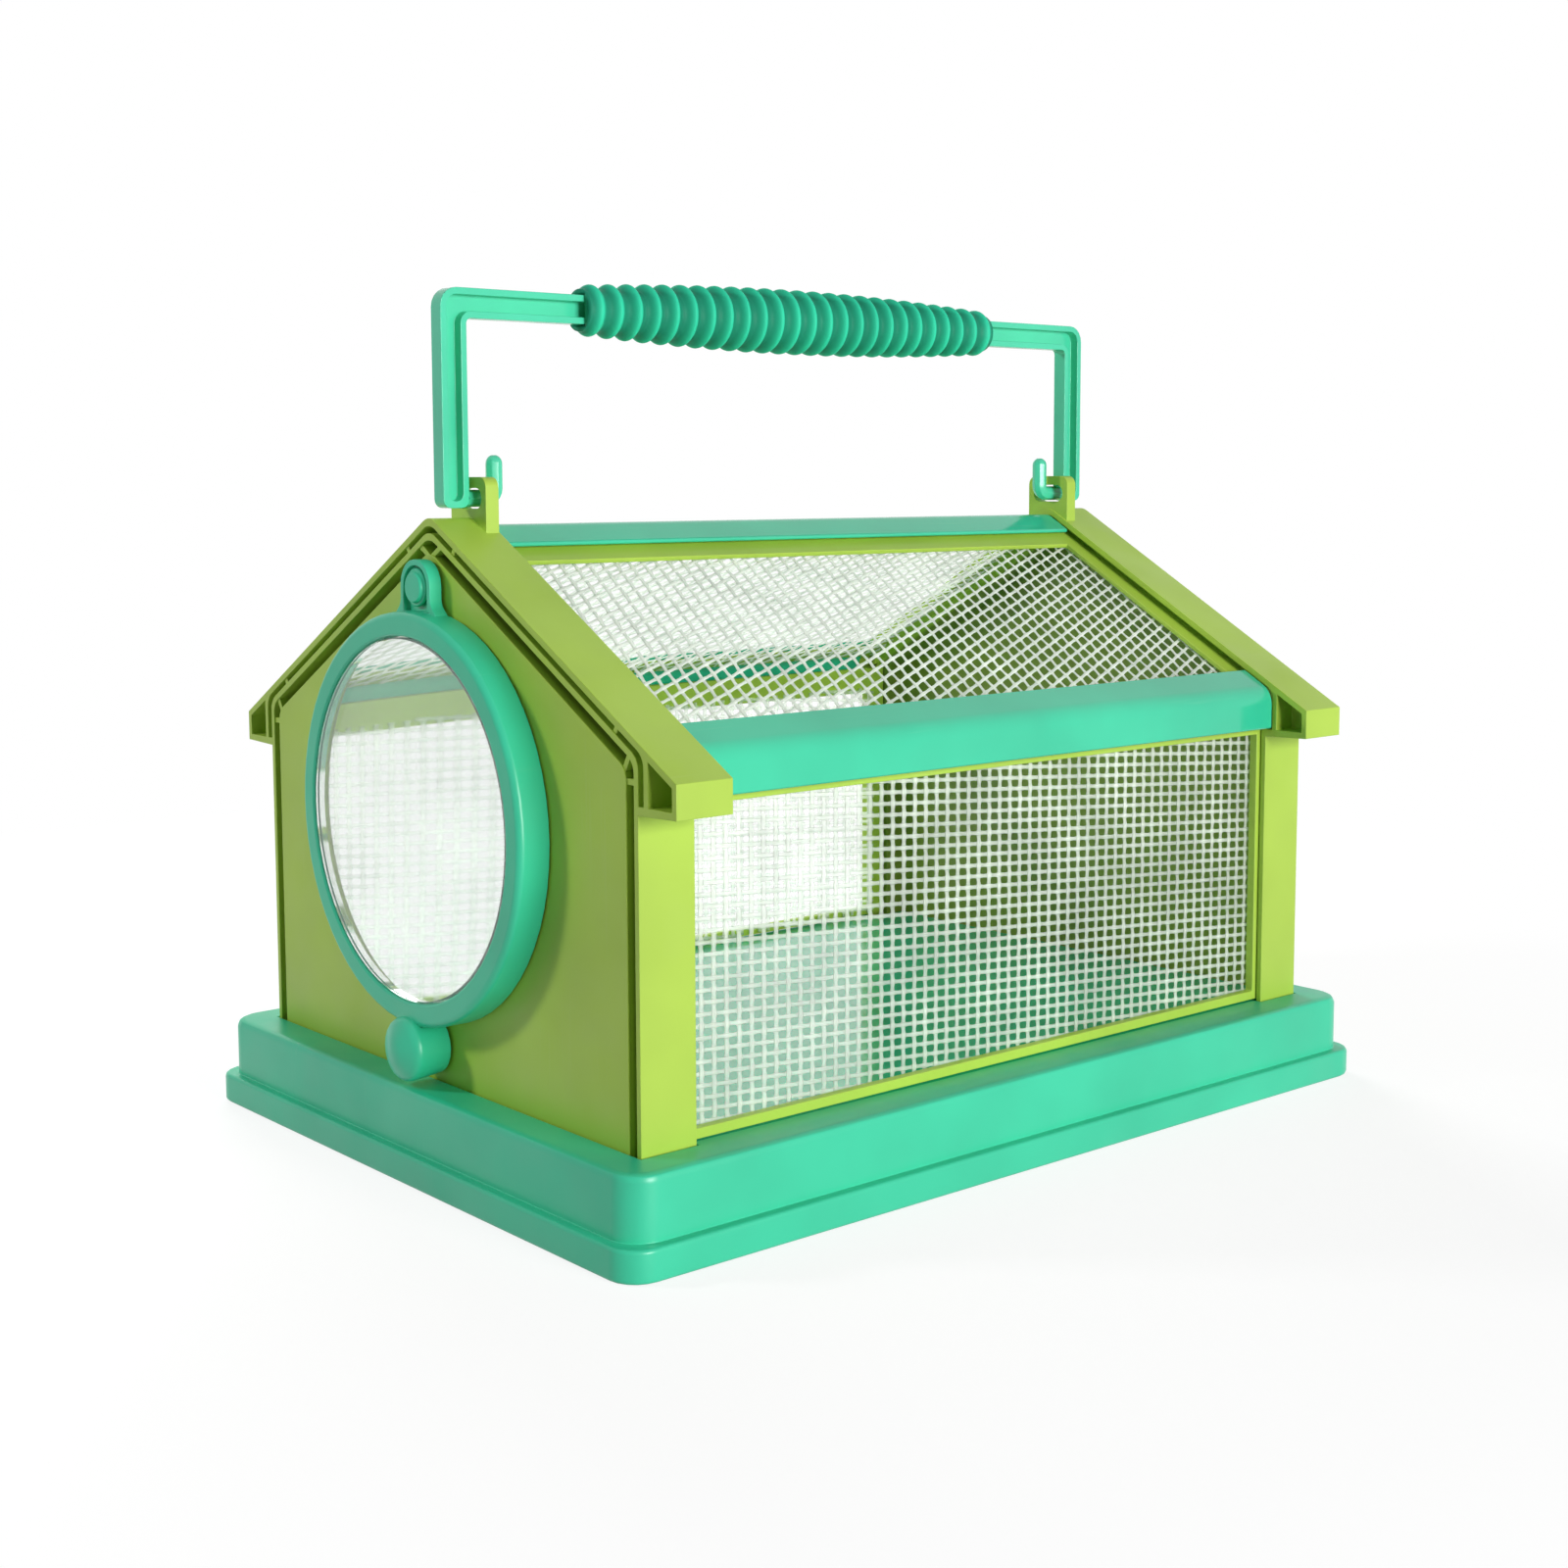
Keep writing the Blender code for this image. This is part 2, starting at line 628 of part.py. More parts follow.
def open_doorway(end):
    """Round door hole and pin hole through the front panel."""
    loops = (
        circle(DOOR_HOLE_RADIUS, RING_STEPS, (0, DOOR_CENTRE)),
        circle(PIN_RADIUS + GAP, SMALL_STEPS, (0, PIN_HEIGHT)),
    )
    holes = [end_layer([loop], -1, -OVERCUT, PANEL_THICKNESS + OVERCUT) for loop in loops]
    cut(end, "doorway", together(holes))


def net_loops(opening, lap):
    """Outer edge of a net that laps over a window's opening, and its grid of square-cornered gaps."""
    left, bottom = opening[0] - lap, opening[1] - lap
    right, top = opening[2] + lap, opening[3] + lap
    loops = [rectangle(left, bottom, right, top)]
    column = (right - left - NET_STRAND) / NET_COLUMNS
    row = (top - bottom - NET_STRAND) / NET_ROWS
    for across in range(NET_COLUMNS):
        for up in range(NET_ROWS):
            gap_left = left + NET_STRAND + across * column
            gap_bottom = bottom + NET_STRAND + up * row
            loops.append(
                rectangle(gap_left, gap_bottom, gap_left + column - NET_STRAND, gap_bottom + row - NET_STRAND)
            )
    return loops


def side_window(name, side):
    """Frame between the posts of one long side, with its net on the inner face."""
    foot = SIDE_FOOT
    roof_end = ROOF_FRAME_DEPTH + ROOF_FRAME_THICKNESS
    top = roof_height(slope_end(roof_end), roof_end) - EAVE_SLOT
    half = SIDE_HALF_LENGTH
    opening = (
        -half + SIDE_STRIP_END,
        foot + SIDE_STRIP_BOTTOM,
        half - SIDE_STRIP_END,
        top - SIDE_STRIP_TOP,
    )
    frame = along_x(
        [rectangle(-half, foot, half, top), rectangle(*opening)],
        side * (SIDE_FACE - FRAME_THICKNESS / 2),
        FRAME_THICKNESS,
    )
    part(f"side_frame_{name}", frame, LIME)
    net = net_loops(opening, SIDE_NET_LAP)
    net_middle = side * (SIDE_FACE - FRAME_THICKNESS - GAP - NET_THICKNESS / 2)
    part(f"side_net_{name}", along_x(net, net_middle, NET_THICKNESS), NET)


def roof_window(name, side):
    """Frame in one roof slope, tucked under both roof edges, with its net on the under face."""
    half = ROOF_HALF_LENGTH - GAP
    opening = (
        -half + ROOF_STRIP_END,
        ROOF_SLOPE_START + ROOF_STRIP_TOP,
        half - ROOF_STRIP_END,
        ROOF_SLOPE_END - ROOF_STRIP_BOTTOM,
    )
    outer = rectangle(-half, ROOF_SLOPE_START, half, ROOF_SLOPE_END)
    frame = roof_plate([outer, rectangle(*opening)], side, ROOF_FRAME_DEPTH, ROOF_FRAME_THICKNESS)
    part(f"roof_frame_{name}", frame, LIME)
    net = net_loops(opening, ROOF_NET_LAP)
    part(f"roof_net_{name}", roof_plate(net, side, ROOF_NET_DEPTH, NET_THICKNESS), NET)


def eave_rail(name, side):
    """Curved cover strip over the joint of roof frame and side frame."""
    outer_x = POST_HALF_SPAN + RAIL_OVERLAP
    inner_x = outer_x - COVER_THICKNESS
    inner_depth = COVER_DEPTH + COVER_THICKNESS
    upper_x = outer_x - RAIL_RISE
    foot = roof_height(outer_x, COVER_DEPTH) - RAIL_DROP
    corners = [
        (upper_x, roof_height(upper_x, COVER_DEPTH), 0),
        (outer_x, roof_height(outer_x, COVER_DEPTH), EAVE_RADIUS + COVER_THICKNESS),
        (outer_x, foot, 0),
        (inner_x, foot, 0),
        (inner_x, roof_height(inner_x, inner_depth), EAVE_RADIUS),
        (upper_x, roof_height(upper_x, inner_depth), 0),
    ]
    outline = rounded([(side * across, up, radius) for across, up, radius in corners])
    rail = part(f"eave_rail_{name}", along_y([outline], 0, 2 * COVER_HALF_LENGTH), TEAL)
    soften(rail, COVER_ROUND)


def ridge_cap():
    inner_depth = COVER_DEPTH + COVER_THICKNESS
    inner_half = CAP_HALF_WIDTH - COVER_THICKNESS
    lip = roof_height(inner_half, inner_depth)
    outline = rounded(
        [
            (-CAP_HALF_WIDTH, lip, 0),
            (-CAP_HALF_WIDTH, roof_height(CAP_HALF_WIDTH, COVER_DEPTH), 0),
            (0, roof_height(0, COVER_DEPTH), PEAK_RADIUS),
            (CAP_HALF_WIDTH, roof_height(CAP_HALF_WIDTH, COVER_DEPTH), 0),
            (CAP_HALF_WIDTH, lip, 0),
            (inner_half, lip, 0),
            (0, roof_height(0, inner_depth), 0),
            (-inner_half, lip, 0),
        ]
    )
    cap = part("ridge_cap", along_y([outline], 0, 2 * COVER_HALF_LENGTH), TEAL)
    soften(cap, COVER_ROUND)


def bail_outline(inset, foot, foot_radius, corner, inner_corner):
    """Side view of the handle's legs and bar, drawn in by the inset on both edges."""
    outer = LEG_OUTER - inset
    inner = LEG_INNER + inset
    top = BAIL_TOP - inset
    under = BAIL_TOP - LEG_WIDTH + inset
    return rounded(
        [
            (-outer, foot, foot_radius),
            (-outer, top, corner),
            (outer, top, corner),
            (outer, foot, foot_radius),
            (inner, foot, foot_radius),
            (inner, under, inner_corner),
            (-inner, under, inner_corner),
            (-inner, foot, foot_radius),
        ]
    )


def pivot_hook(side):
    """Stub through the ear that turns up into a locking finger."""
    finger = END_INNER - FINGER_CLEARANCE - STUB_RADIUS
    bend = Vector((0, finger + FINGER_BEND, PIVOT + FINGER_BEND))
    places = [Vector((0, LEG_INNER + BAIL_LIP / 2, PIVOT))]
    for step in range(ARC_STEPS + 1):
        angle = math.pi / 2 * step / ARC_STEPS
        places.append(bend - Vector((0, math.sin(angle), math.cos(angle))) * FINGER_BEND)
    shares = [1.0] * len(places)
    tip = PIVOT + FINGER_HEIGHT - STUB_RADIUS
    for step in range(ARC_STEPS):
        angle = math.pi / 2 * step / ARC_STEPS
        places.append(Vector((0, finger, tip + STUB_RADIUS * math.sin(angle))))
        shares.append(math.cos(angle))
    points = [(place.x, side * place.y, place.z) for place in places]
    return rod(points, shares, STUB_RADIUS)


def handle_bail():
    """Legs and bar with a channel along one face."""
    foot = PIVOT - STUB_RADIUS - GAP / 2
    outline = bail_outline(0, foot, STUB_RADIUS, BAIL_CORNER, BAIL_INNER_CORNER)
    bail = part("handle_bail", along_x([outline], 0, BAIL_THICKNESS), TEAL, (0, 0, PIVOT))
    end_radius = (LEG_WIDTH / 2 - BAIL_LIP) * 0.95
    corners = (BAIL_CORNER - BAIL_LIP, BAIL_INNER_CORNER + BAIL_LIP)
    channel = bail_outline(BAIL_LIP, foot + BAIL_LIP, end_radius, *corners)
    depth = BAIL_CHANNEL_DEPTH + OVERCUT
    middle = BAIL_THICKNESS / 2 - BAIL_CHANNEL_DEPTH + depth / 2
    cut(bail, "channel", along_x([channel], middle, depth))
    join(bail, "hooks", together([pivot_hook(-1), pivot_hook(1)]))
    return bail


def handle_grip():
    """Barrel-shaped sleeve pushed onto the bar, with bulging ribs and narrow grooves."""
    half = GRIP_LENGTH / 2
    pitch = GRIP_LENGTH / GRIP_RIBS

    def barrel(place):
        swell = 1 - (place / half) ** 2
        return GRIP_END_RADIUS + (GRIP_MIDDLE_RADIUS - GRIP_END_RADIUS) * swell

    profile = [(0, half), (GRIP_CORE_RADIUS, half)]
    for index in range(GRIP_RIBS):
        middle = half - (index + 0.5) * pitch
        crest = barrel(middle)
        foot = max(GRIP_CORE_RADIUS, crest - GRIP_GROOVE_DEPTH)
        profile.append((foot, middle + GRIP_RIB_FOOT / 2))
        profile.append((crest, middle + GRIP_RIB_CREST / 2))
        profile.append((crest, middle - GRIP_RIB_CREST / 2))
        profile.append((foot, middle - GRIP_RIB_FOOT / 2))
    profile.append((GRIP_CORE_RADIUS, -half))
    profile.append((0, -half))
    place = Matrix.Translation((0, 0, BAR_MIDDLE)) @ Matrix.Rotation(math.pi / 2, 4, "X")
    grip = part("handle_grip", moved(turned(profile, GRIP_STEPS), place), GRIP, (0, 0, PIVOT))
    bar_x = BAIL_THICKNESS / 2 + GAP
    bar_z = LEG_WIDTH / 2 + GAP
    reach = half + OVERCUT
    cut(grip, "bar", box((-bar_x, -reach, BAR_MIDDLE - bar_z), (bar_x, reach, BAR_MIDDLE + bar_z)))
    return grip


def lug_outline():
    """Front view of the lug that hangs the ring on its pin, its foot inside the ring's rim."""
    foot_radius = (RING_RADIUS + PANE_RADIUS + GAP) / 2
    spread = math.asin(LUG_FOOT / foot_radius)
    foot = []
    for step in range(ARC_STEPS + 1):
        angle = spread * (1 - 2 * step / ARC_STEPS)
        foot.append((foot_radius * math.sin(angle), DOOR_CENTRE + foot_radius * math.cos(angle), 0))
    neck = DOOR_CENTRE + RING_RADIUS + RING_ROUND
    top = PIN_HEIGHT + LUG_RADIUS
    return rounded(
        [
            (-LUG_RADIUS, neck, LUG_RADIUS / 2),
            (-LUG_RADIUS, top, LUG_RADIUS * 0.95),
            (LUG_RADIUS, top, LUG_RADIUS * 0.95),
            (LUG_RADIUS, neck, LUG_RADIUS / 2),
            *foot,
        ]
    )


def lug_pocket():
    """Front view of the sunk face of the lug, open towards the ring."""
    half_width = LUG_RADIUS - LUG_RIM
    top = PIN_HEIGHT + half_width
    bottom = DOOR_CENTRE + RING_RADIUS
    return rounded(
        [
            (-half_width, bottom, 0),
            (-half_width, top, half_width * 0.95),
            (half_width, top, half_width * 0.95),
            (half_width, bottom, 0),
        ]
    )


def round_edge(radius, height, size, steps=ARC_STEPS):
    """Profile points of a quarter round at the top outer edge of a turned solid."""
    points = []
    for step in range(steps + 1):
        angle = math.pi / 2 * (1 - step / steps)
        points.append((radius - size + size * math.cos(angle), height - size + size * math.sin(angle)))
    return points


def door_ring():
    seat = RING_THICKNESS - RING_LIP
    profile = [
        *round_edge(RING_RADIUS, RING_THICKNESS, RING_ROUND),
        (RING_RADIUS, 0),
        (PANE_RADIUS + GAP, 0),
        (PANE_RADIUS + GAP, seat),
        (RING_HOLE_RADIUS, seat),
        (RING_HOLE_RADIUS, RING_THICKNESS - RING_LIP / 4),
        (RING_HOLE_RADIUS + RING_LIP / 4, RING_THICKNESS),
    ]
    mesh = facing_front(turned(profile, RING_STEPS, ring=True), DOOR_CENTRE, DOOR_BACK)
    ring = part("door_ring", mesh, TEAL, (0, 0, PIN_HEIGHT))
    lug_middle = -DOOR_BACK - GAP - LUG_THICKNESS / 2
    join(ring, "lug", along_y([lug_outline()], lug_middle, LUG_THICKNESS))
    knob = [
        (0, KNOB_LENGTH),
        (KNOB_RADIUS * 0.4, KNOB_LENGTH - KNOB_DOME * 0.2),
        *round_edge(KNOB_RADIUS, KNOB_LENGTH - KNOB_DOME, 1.5 * RING_ROUND)[1:],
        (KNOB_RADIUS - RING_ROUND / 2, GAP),
        (0, GAP),
    ]
    join(ring, "knob", facing_front(turned(knob, SMALL_STEPS), KNOB_CENTRE, DOOR_BACK))
    pocket_depth = LUG_THICKNESS - LUG_FLOOR
    pocket_middle = -DOOR_BACK - GAP - LUG_THICKNESS + pocket_depth / 2 - OVERCUT / 2
    cut(ring, "lug_pocket", along_y([lug_pocket()], pocket_middle, pocket_depth + OVERCUT))
    pin_hole = circle(PIN_RADIUS + GAP, SMALL_STEPS, (0, PIN_HEIGHT))
    cut(ring, "pin_hole", along_y([pin_hole], lug_middle, LUG_THICKNESS + 2 * OVERCUT))
    return ring


def door_pane():
    """Clear pane: a flange behind the ring's lip and a raised, slightly domed middle."""
    middle_radius = RING_HOLE_RADIUS - GAP
    middle = PANE_THICKNESS + PANE_RAISE
    pane = []
    for step in range(DOME_STEPS):
        share = step / DOME_STEPS
        pane.append((middle_radius * share, middle + PANE_DOME * (1 - share**2)))
    pane += [
        (middle_radius, middle),
        (middle_radius, PANE_THICKNESS),
        (PANE_RADIUS, PANE_THICKNESS),
        (PANE_RADIUS, 0),
        (0, 0),
    ]
    mesh = facing_front(turned(pane, RING_STEPS), DOOR_CENTRE, DOOR_BACK + PANE_BACK)
    return part("door_pane", mesh, CLEAR, (0, 0, PIN_HEIGHT))


def pane_retainer():
    """Snap ring behind the pane."""
    loops = [circle(radius, RING_STEPS, (0, DOOR_CENTRE)) for radius in (PANE_RADIUS, RING_HOLE_RADIUS)]
    middle = DOOR_BACK + PANE_BACK - GAP - RETAINER_THICKNESS / 2
    return part("pane_retainer", along_y(loops, -middle, RETAINER_THICKNESS), TEAL, (0, 0, PIN_HEIGHT))


def door_pin():
    shoulder = DOOR_BACK + LUG_FLOOR + 2 * GAP
    tail = END_HALF_SPAN - PANEL_THICKNESS - PIN_TAIL
    length = shoulder - tail
    step = length + PIN_HEAD_STEP
    top = step + PIN_HEAD_STEP
    boss_radius = PIN_HEAD_RADIUS * 0.8
    profile = [
        (0, top),
        *round_edge(boss_radius, top, PIN_HEAD_STEP / 2, 2),
        (boss_radius, step),
        *round_edge(PIN_HEAD_RADIUS, step, PIN_HEAD_STEP / 3, 2),
        (PIN_HEAD_RADIUS, length),
        (PIN_RADIUS, length),
        (PIN_RADIUS, 0),
        (0, 0),
    ]
    part("door_pin", facing_front(turned(profile, SMALL_STEPS), PIN_HEIGHT, tail), TEAL, (0, 0, PIN_HEIGHT))
    loops = [
        circle(CLIP_RADIUS, SMALL_STEPS, (0, PIN_HEIGHT)),
        circle(PIN_RADIUS + GAP / 2, SMALL_STEPS, (0, PIN_HEIGHT)),
    ]
    middle = END_HALF_SPAN - PANEL_THICKNESS - GAP - CLIP_THICKNESS / 2
    part("pin_clip", along_y(loops, -middle, CLIP_THICKNESS), NET, (0, 0, PIN_HEIGHT))


def build_cage():
    base_tray()
    open_doorway(end_moulding("gable_end_front", -1))
    end_moulding("gable_end_rear", 1)
    for name, side in (("right", 1), ("left", -1)):
        side_window(name, side)
        roof_window(name, side)
        eave_rail(name, side)
    ridge_cap()
    bail = handle_bail()
    carry(bail, handle_grip())
    ring = door_ring()
    carry(ring, door_pane(), pane_retainer())
    door_pin()


clear_scene()
PARTS = new_collection("insect_cage")
CUTTERS = new_collection("insect_cage_cutters")
LIME = plastic("lime plastic", (0.36, 0.56, 0.05), 0.4)
TEAL = plastic("teal plastic", (0.05, 0.55, 0.33), 0.35)
GRIP = plastic("grip plastic", (0.03, 0.40, 0.22), 0.45)
CLEAR = plastic("clear plastic", (0.92, 0.95, 0.93), 0.08, 0.25)
NET = plastic("white net", (0.85, 0.86, 0.84), 0.6)
build_cage()
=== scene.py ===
"""Dresses the insect cage: lime and teal mouldings, woven nets, ribbed grip, clear door pane."""

import math

import bmesh
import bpy
from mathutils import Matrix, Vector


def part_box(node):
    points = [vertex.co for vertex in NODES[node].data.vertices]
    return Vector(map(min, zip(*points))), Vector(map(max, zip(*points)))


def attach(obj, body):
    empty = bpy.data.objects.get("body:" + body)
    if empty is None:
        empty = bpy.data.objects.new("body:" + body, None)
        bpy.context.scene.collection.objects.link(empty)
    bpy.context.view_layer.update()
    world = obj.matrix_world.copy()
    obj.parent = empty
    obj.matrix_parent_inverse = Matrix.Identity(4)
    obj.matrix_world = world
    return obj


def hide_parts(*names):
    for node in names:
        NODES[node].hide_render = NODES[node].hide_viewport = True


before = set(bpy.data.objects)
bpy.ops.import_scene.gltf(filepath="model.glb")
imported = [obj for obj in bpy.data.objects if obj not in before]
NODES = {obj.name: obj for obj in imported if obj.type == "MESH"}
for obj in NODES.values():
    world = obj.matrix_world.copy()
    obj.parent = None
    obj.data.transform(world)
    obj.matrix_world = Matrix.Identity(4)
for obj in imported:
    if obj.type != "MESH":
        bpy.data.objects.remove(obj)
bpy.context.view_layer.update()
MM = 0.001
TINY = 1e-9

# Roof planes, as the solids have them
ROOF_PITCH = math.radians(29.62)
PEAK = 125.0 * MM
ROOF_NET_DEPTH = 4.3 * MM  # middle of the roof nets below the roof's top line

# Nets: lie in degrees, spacing and width of the two sets of strands, in the net's own plane
SIDE_UPRIGHTS = {"lie": 0.0, "spacing": 2.84 * MM, "yarn": 1.16 * MM}
SIDE_ROWS = {"lie": 85.8, "spacing": 2.10 * MM, "yarn": 0.86 * MM}
ROOF_FALLS = {"lie": 8.6, "spacing": 3.184 * MM, "yarn": 0.92 * MM}
ROOF_ROWS = {"lie": 65.8, "spacing": 2.594 * MM, "yarn": 0.75 * MM}
YARN_THICKNESS = 0.26 * MM
YARN_SIDES = 6
WEAVE_RISE = 0.1 * MM
KNOT_SWELL = 0.16
SHORTEST_STRAND = 1.0 * MM

# Yarn
YARN_DULL = (0.865, 0.885, 0.845)
YARN_PALE = (0.945, 0.955, 0.92)
SIDE_YARN_BODY = (0.39, 0.49)  # how strongly one face of a strand shows its own white
SIDE_YARN_CLEAR = 0.66  # share of what lies behind that one face lets through to the eye
ROOF_YARN_BODY = (0.80, 0.90)
ROOF_YARN_CLEAR = 0.24
YARN_CLEAR_TO_LAMPS = 0.2  # share of the lamps' light that one face lets through
YARN_LIGHT_THROUGH = 0.4  # share of a strand's own white that is lit from behind
YARN_ROUGHNESS = (0.5, 0.7)
FIBRE_STRENGTH = 0.4
FIBRE_DEPTH = 0.06 * MM

# Noises: scale per metre and detail
FLOW_NOISE = (26.0, 3.0)
SMUDGE_NOISE = (90.0, 4.0)
GRAIN_NOISE = (2600.0, 1.0)
PEEL_NOISE = (520.0, 2.0)
PATCH_NOISE = (45.0, 2.0)
HAIRLINE_NOISE = (1.0, 2.0)  # on coordinates that are stretched already
FIBRE_NOISE = (3200.0, 3.0)
YARN_NOISE = (70.0, 2.0)

# Stretches of a noise's values that are spread over its whole effect
FLOW_RANGE = (0.35, 0.65)
WIDE_RANGE = (0.3, 0.7)
HAIRLINE_RANGE = (0.64, 0.72)
PATCH_RANGE = (0.45, 0.65)

# Moulded faces
TONE_DRIFT = 0.08
GLOSS_DRIFT = 0.12
GRAIN_SHARE = 0.6
PEEL_SHARE = 0.4
GRAIN_STRENGTH = 0.35
HAIRLINE_TURNS = ((0.3, 0.9, 0.2), (1.1, 0.1, 2.1))
HAIRLINE_STRETCH = (900.0, 26.0, 26.0)
SCUFF_KEEPS = 0.75  # share of the plastic's colour left in a scuff
SCUFF_WHITE = 0.2  # white added to it
SCUFF_ROUGHNESS = 0.2

# Colours and finishes of the mouldings
LIME = (0.40, 0.59, 0.066)
TEAL = (0.038, 0.57, 0.335)
# A paler copy of the teal for the handle: painted light for the brighter light it catches
BAIL_TEAL_PAINTED_PALER = (0.07, 0.64, 0.39)
# The grip's crest colour, paler than the other teal as a painted highlight
GRIP_PAINTED_CREST_TEAL = (0.035, 0.68, 0.40)
CLIP_WHITE = (0.8, 0.81, 0.79)
LIME_FINISH = {"gloss": 0.42, "grain_depth": 0.05 * MM, "scuffing": 0.10}
RAIL_FINISH = {"gloss": 0.13, "grain_depth": 0.015 * MM, "scuffing": 0.12}
SATIN_FINISH = {"gloss": 0.36, "grain_depth": 0.015 * MM, "scuffing": 0.08}
BAIL_FINISH = {"gloss": 0.2, "grain_depth": 0.02 * MM, "scuffing": 0.12}
GRIP_FINISH = {"gloss": 0.55, "grain_depth": 0.04 * MM, "scuffing": 0.10, "sheen": 0.15}
CLIP_FINISH = {"gloss": 0.45, "grain_depth": 0.04 * MM, "scuffing": 0.05}
PLAIN_SHEEN = 0.5

# End walls and base: walls painted darker on their faces inside the cage as painted shade, base
# polished as its floor
END_INNER_FACE = 88.5 * MM
WALL_INNER_EDGE = 62.0 * MM
WALL_INNER_TOP = 6.0 * MM  # below the roof's top line
# Share of the wall's colour left under the painted shade inside the cage
WALL_INNER_PAINTED_SHADE = 0.42
FLOOR_HALF_WIDTH = 63.0 * MM
FLOOR_ROUGHNESS = 0.35  # as a share of the base's
FLOOR_COAT = 0.5
MASK_SOFTNESS = 0.5 * MM

# Soft edges and smooth faces of the solids
SOFT_EDGE = 0.2 * MM
FINE_EDGE = 0.14 * MM
WALL_EDGE = 0.12 * MM
EDGE_STEPS = 2
EDGE_FOLD = math.radians(32)
SHARP_FOLD = math.radians(50)
PLAIN_FOLD = math.radians(0.4)
WELD_REACH = 0.002 * MM
FLAT_WEIGHT = 80

# Grip
GRIP_RIBS = 25
GRIP_ROUND = 72
GRIP_POINTS_PER_RIB = 24
GRIP_END_RADIUS = 4.9 * MM
GRIP_CORE_RADIUS = 4.1 * MM
GRIP_GROOVE_DEPTH = 1.5 * MM
GRIP_CREST_SHARPNESS = 1.5  # over 1 gives narrow crests and wide hollow grooves
GRIP_PAINTED_CREST_LINE = 2.0  # a higher power makes the painted highlight along each crest narrower
GRIP_GROOVE_PAINTED_SHADE = 0.36  # painted shade: colour at the bottom of a groove, as a share of the crest's
GRIP_BORE_HALF = (2.01 * MM, 3.1 * MM)

# Door pane: flange behind the ring's lip, raised middle in front, boss behind, inside the retainer
PANE_FLANGE = 1.2 * MM
PANE_FLANGE_WIDTH = 2.15 * MM
PANE_RAISE = 1.4 * MM
PANE_EDGE_ROUND = 0.25 * MM
PANE_BOSS = 3.2 * MM
PANE_RINGS = 24
PANE_ROUND = 128
PANE_FOLD = math.radians(30)
PANE_TINT = (0.94, 0.97, 0.955)
PANE_SCUFF_TINT = (0.99, 1.0, 0.995)
PANE_SCUFFING = 0.8
PANE_ROUGHNESS = (0.03, 0.2)  # plain and fully scuffed
PANE_IOR = 1.49
PANE_CLEARNESS = 0.9

# Studio
STUDIO_FLOOR_RADIUS = 4.0  # metres
STUDIO_FLOOR_SIDES = 96
STUDIO_FLOOR_DROP = 0.05 * MM
STUDIO_FLOOR_LIGHT = (0.5, 0.5, 0.5)  # its grey as it lights the cage
STUDIO_FLOOR_SHADE = (0.22, 0.22, 0.22)  # what the eye sees of lamps and shadow on it
STUDIO_FLOOR_GLOW = 0.84
STUDIO_FLOOR_FADE = (0.16, 0.45)  # distances in metres over which it turns plain white
SKY_LIGHT = 0.11
WHITE = (1.0, 1.0, 1.0)

# Lamps: direction from the cage, distance and size in metres, and power
LAMP_AIM = (0.0, 0.0, 80.0 * MM)
RIGHT_LAMP = {"towards": (0.97, -0.02, 0.14), "distance": 1.1, "size": 0.4, "watts": 11.2}
LEFT_LAMP = {"towards": (-0.5, -0.70, 0.42), "distance": 1.0, "size": 0.14, "watts": 3.5}
REAR_LAMP = {"towards": (-0.86, 0.34, 0.38), "distance": 1.1, "size": 0.5, "watts": 10.0}

# Camera, solved from the photograph
CAMERA_PLACE = (351.30 * MM, -301.55 * MM, 131.64 * MM)
CAMERA_YAW = math.radians(49.376)
CAMERA_DIP = math.radians(5.800)
CAMERA_ROLL = math.radians(0.130)
CAMERA_LENS = 49.84  # as Blender counts it, like the sensor, in millimetres
CAMERA_SENSOR = 36.0
CAMERA_SHIFT = (-0.00728, -0.0544)
CAMERA_NEAREST = 10.0 * MM

# Colour sockets of the Mix node
MIX_INPUTS = (0, 6, 7)
MIX_OUTPUT = 2


def feed(tree, slot, value):
    """Links a socket to an input, or gives the input a plain value."""
    if isinstance(value, bpy.types.NodeSocket):
        tree.links.new(value, slot)
    else:
        slot.default_value = value


def put(tree, kind, values=None, **settings):
    """Adds a node with its settings, and with values or sockets on its inputs."""
    node = tree.nodes.new(kind)
    for name, setting in settings.items():
        setattr(node, name, setting)
    for name, value in (values or {}).items():
        feed(tree, node.inputs[name], value)
    return node


def sockets(group, inputs, outputs):
    """Makes a group's sockets and its two end nodes."""
    for name, kind, value in inputs:
        made = group.interface.new_socket(name, in_out="INPUT", socket_type=kind)
        made.default_value = value
    for name, kind in outputs:
        group.interface.new_socket(name, in_out="OUTPUT", socket_type=kind)
    return group.nodes.new("NodeGroupInput"), group.nodes.new("NodeGroupOutput")


def opaque(colour):
    """Colour with its alpha."""
    return (*colour, 1.0)


def reckon(tree, operation, first, second):
    """Math node on two values, each a socket or a number."""
    node = put(tree, "ShaderNodeMath", operation=operation)
    for slot, value in zip(node.inputs, (first, second)):
        feed(tree, slot, value)
    return node.outputs[0]


def spread(tree, value, low, high, start, end):
    """Takes a value's range from low to high over to the range from start to end."""
    node = put(tree, "ShaderNodeMapRange")
    for slot, given in zip(node.inputs, (value, low, high, start, end)):
        feed(tree, slot, given)
    return node.outputs[0]


def blend(tree, share, first, second, way="MIX"):
    """Second colour laid over the first by a share."""
    node = put(tree, "ShaderNodeMix", data_type="RGBA", blend_type=way)
    for index, value in zip(MIX_INPUTS, (share, first, second)):
        feed(tree, node.inputs[index], value)
    return node.outputs[MIX_OUTPUT]


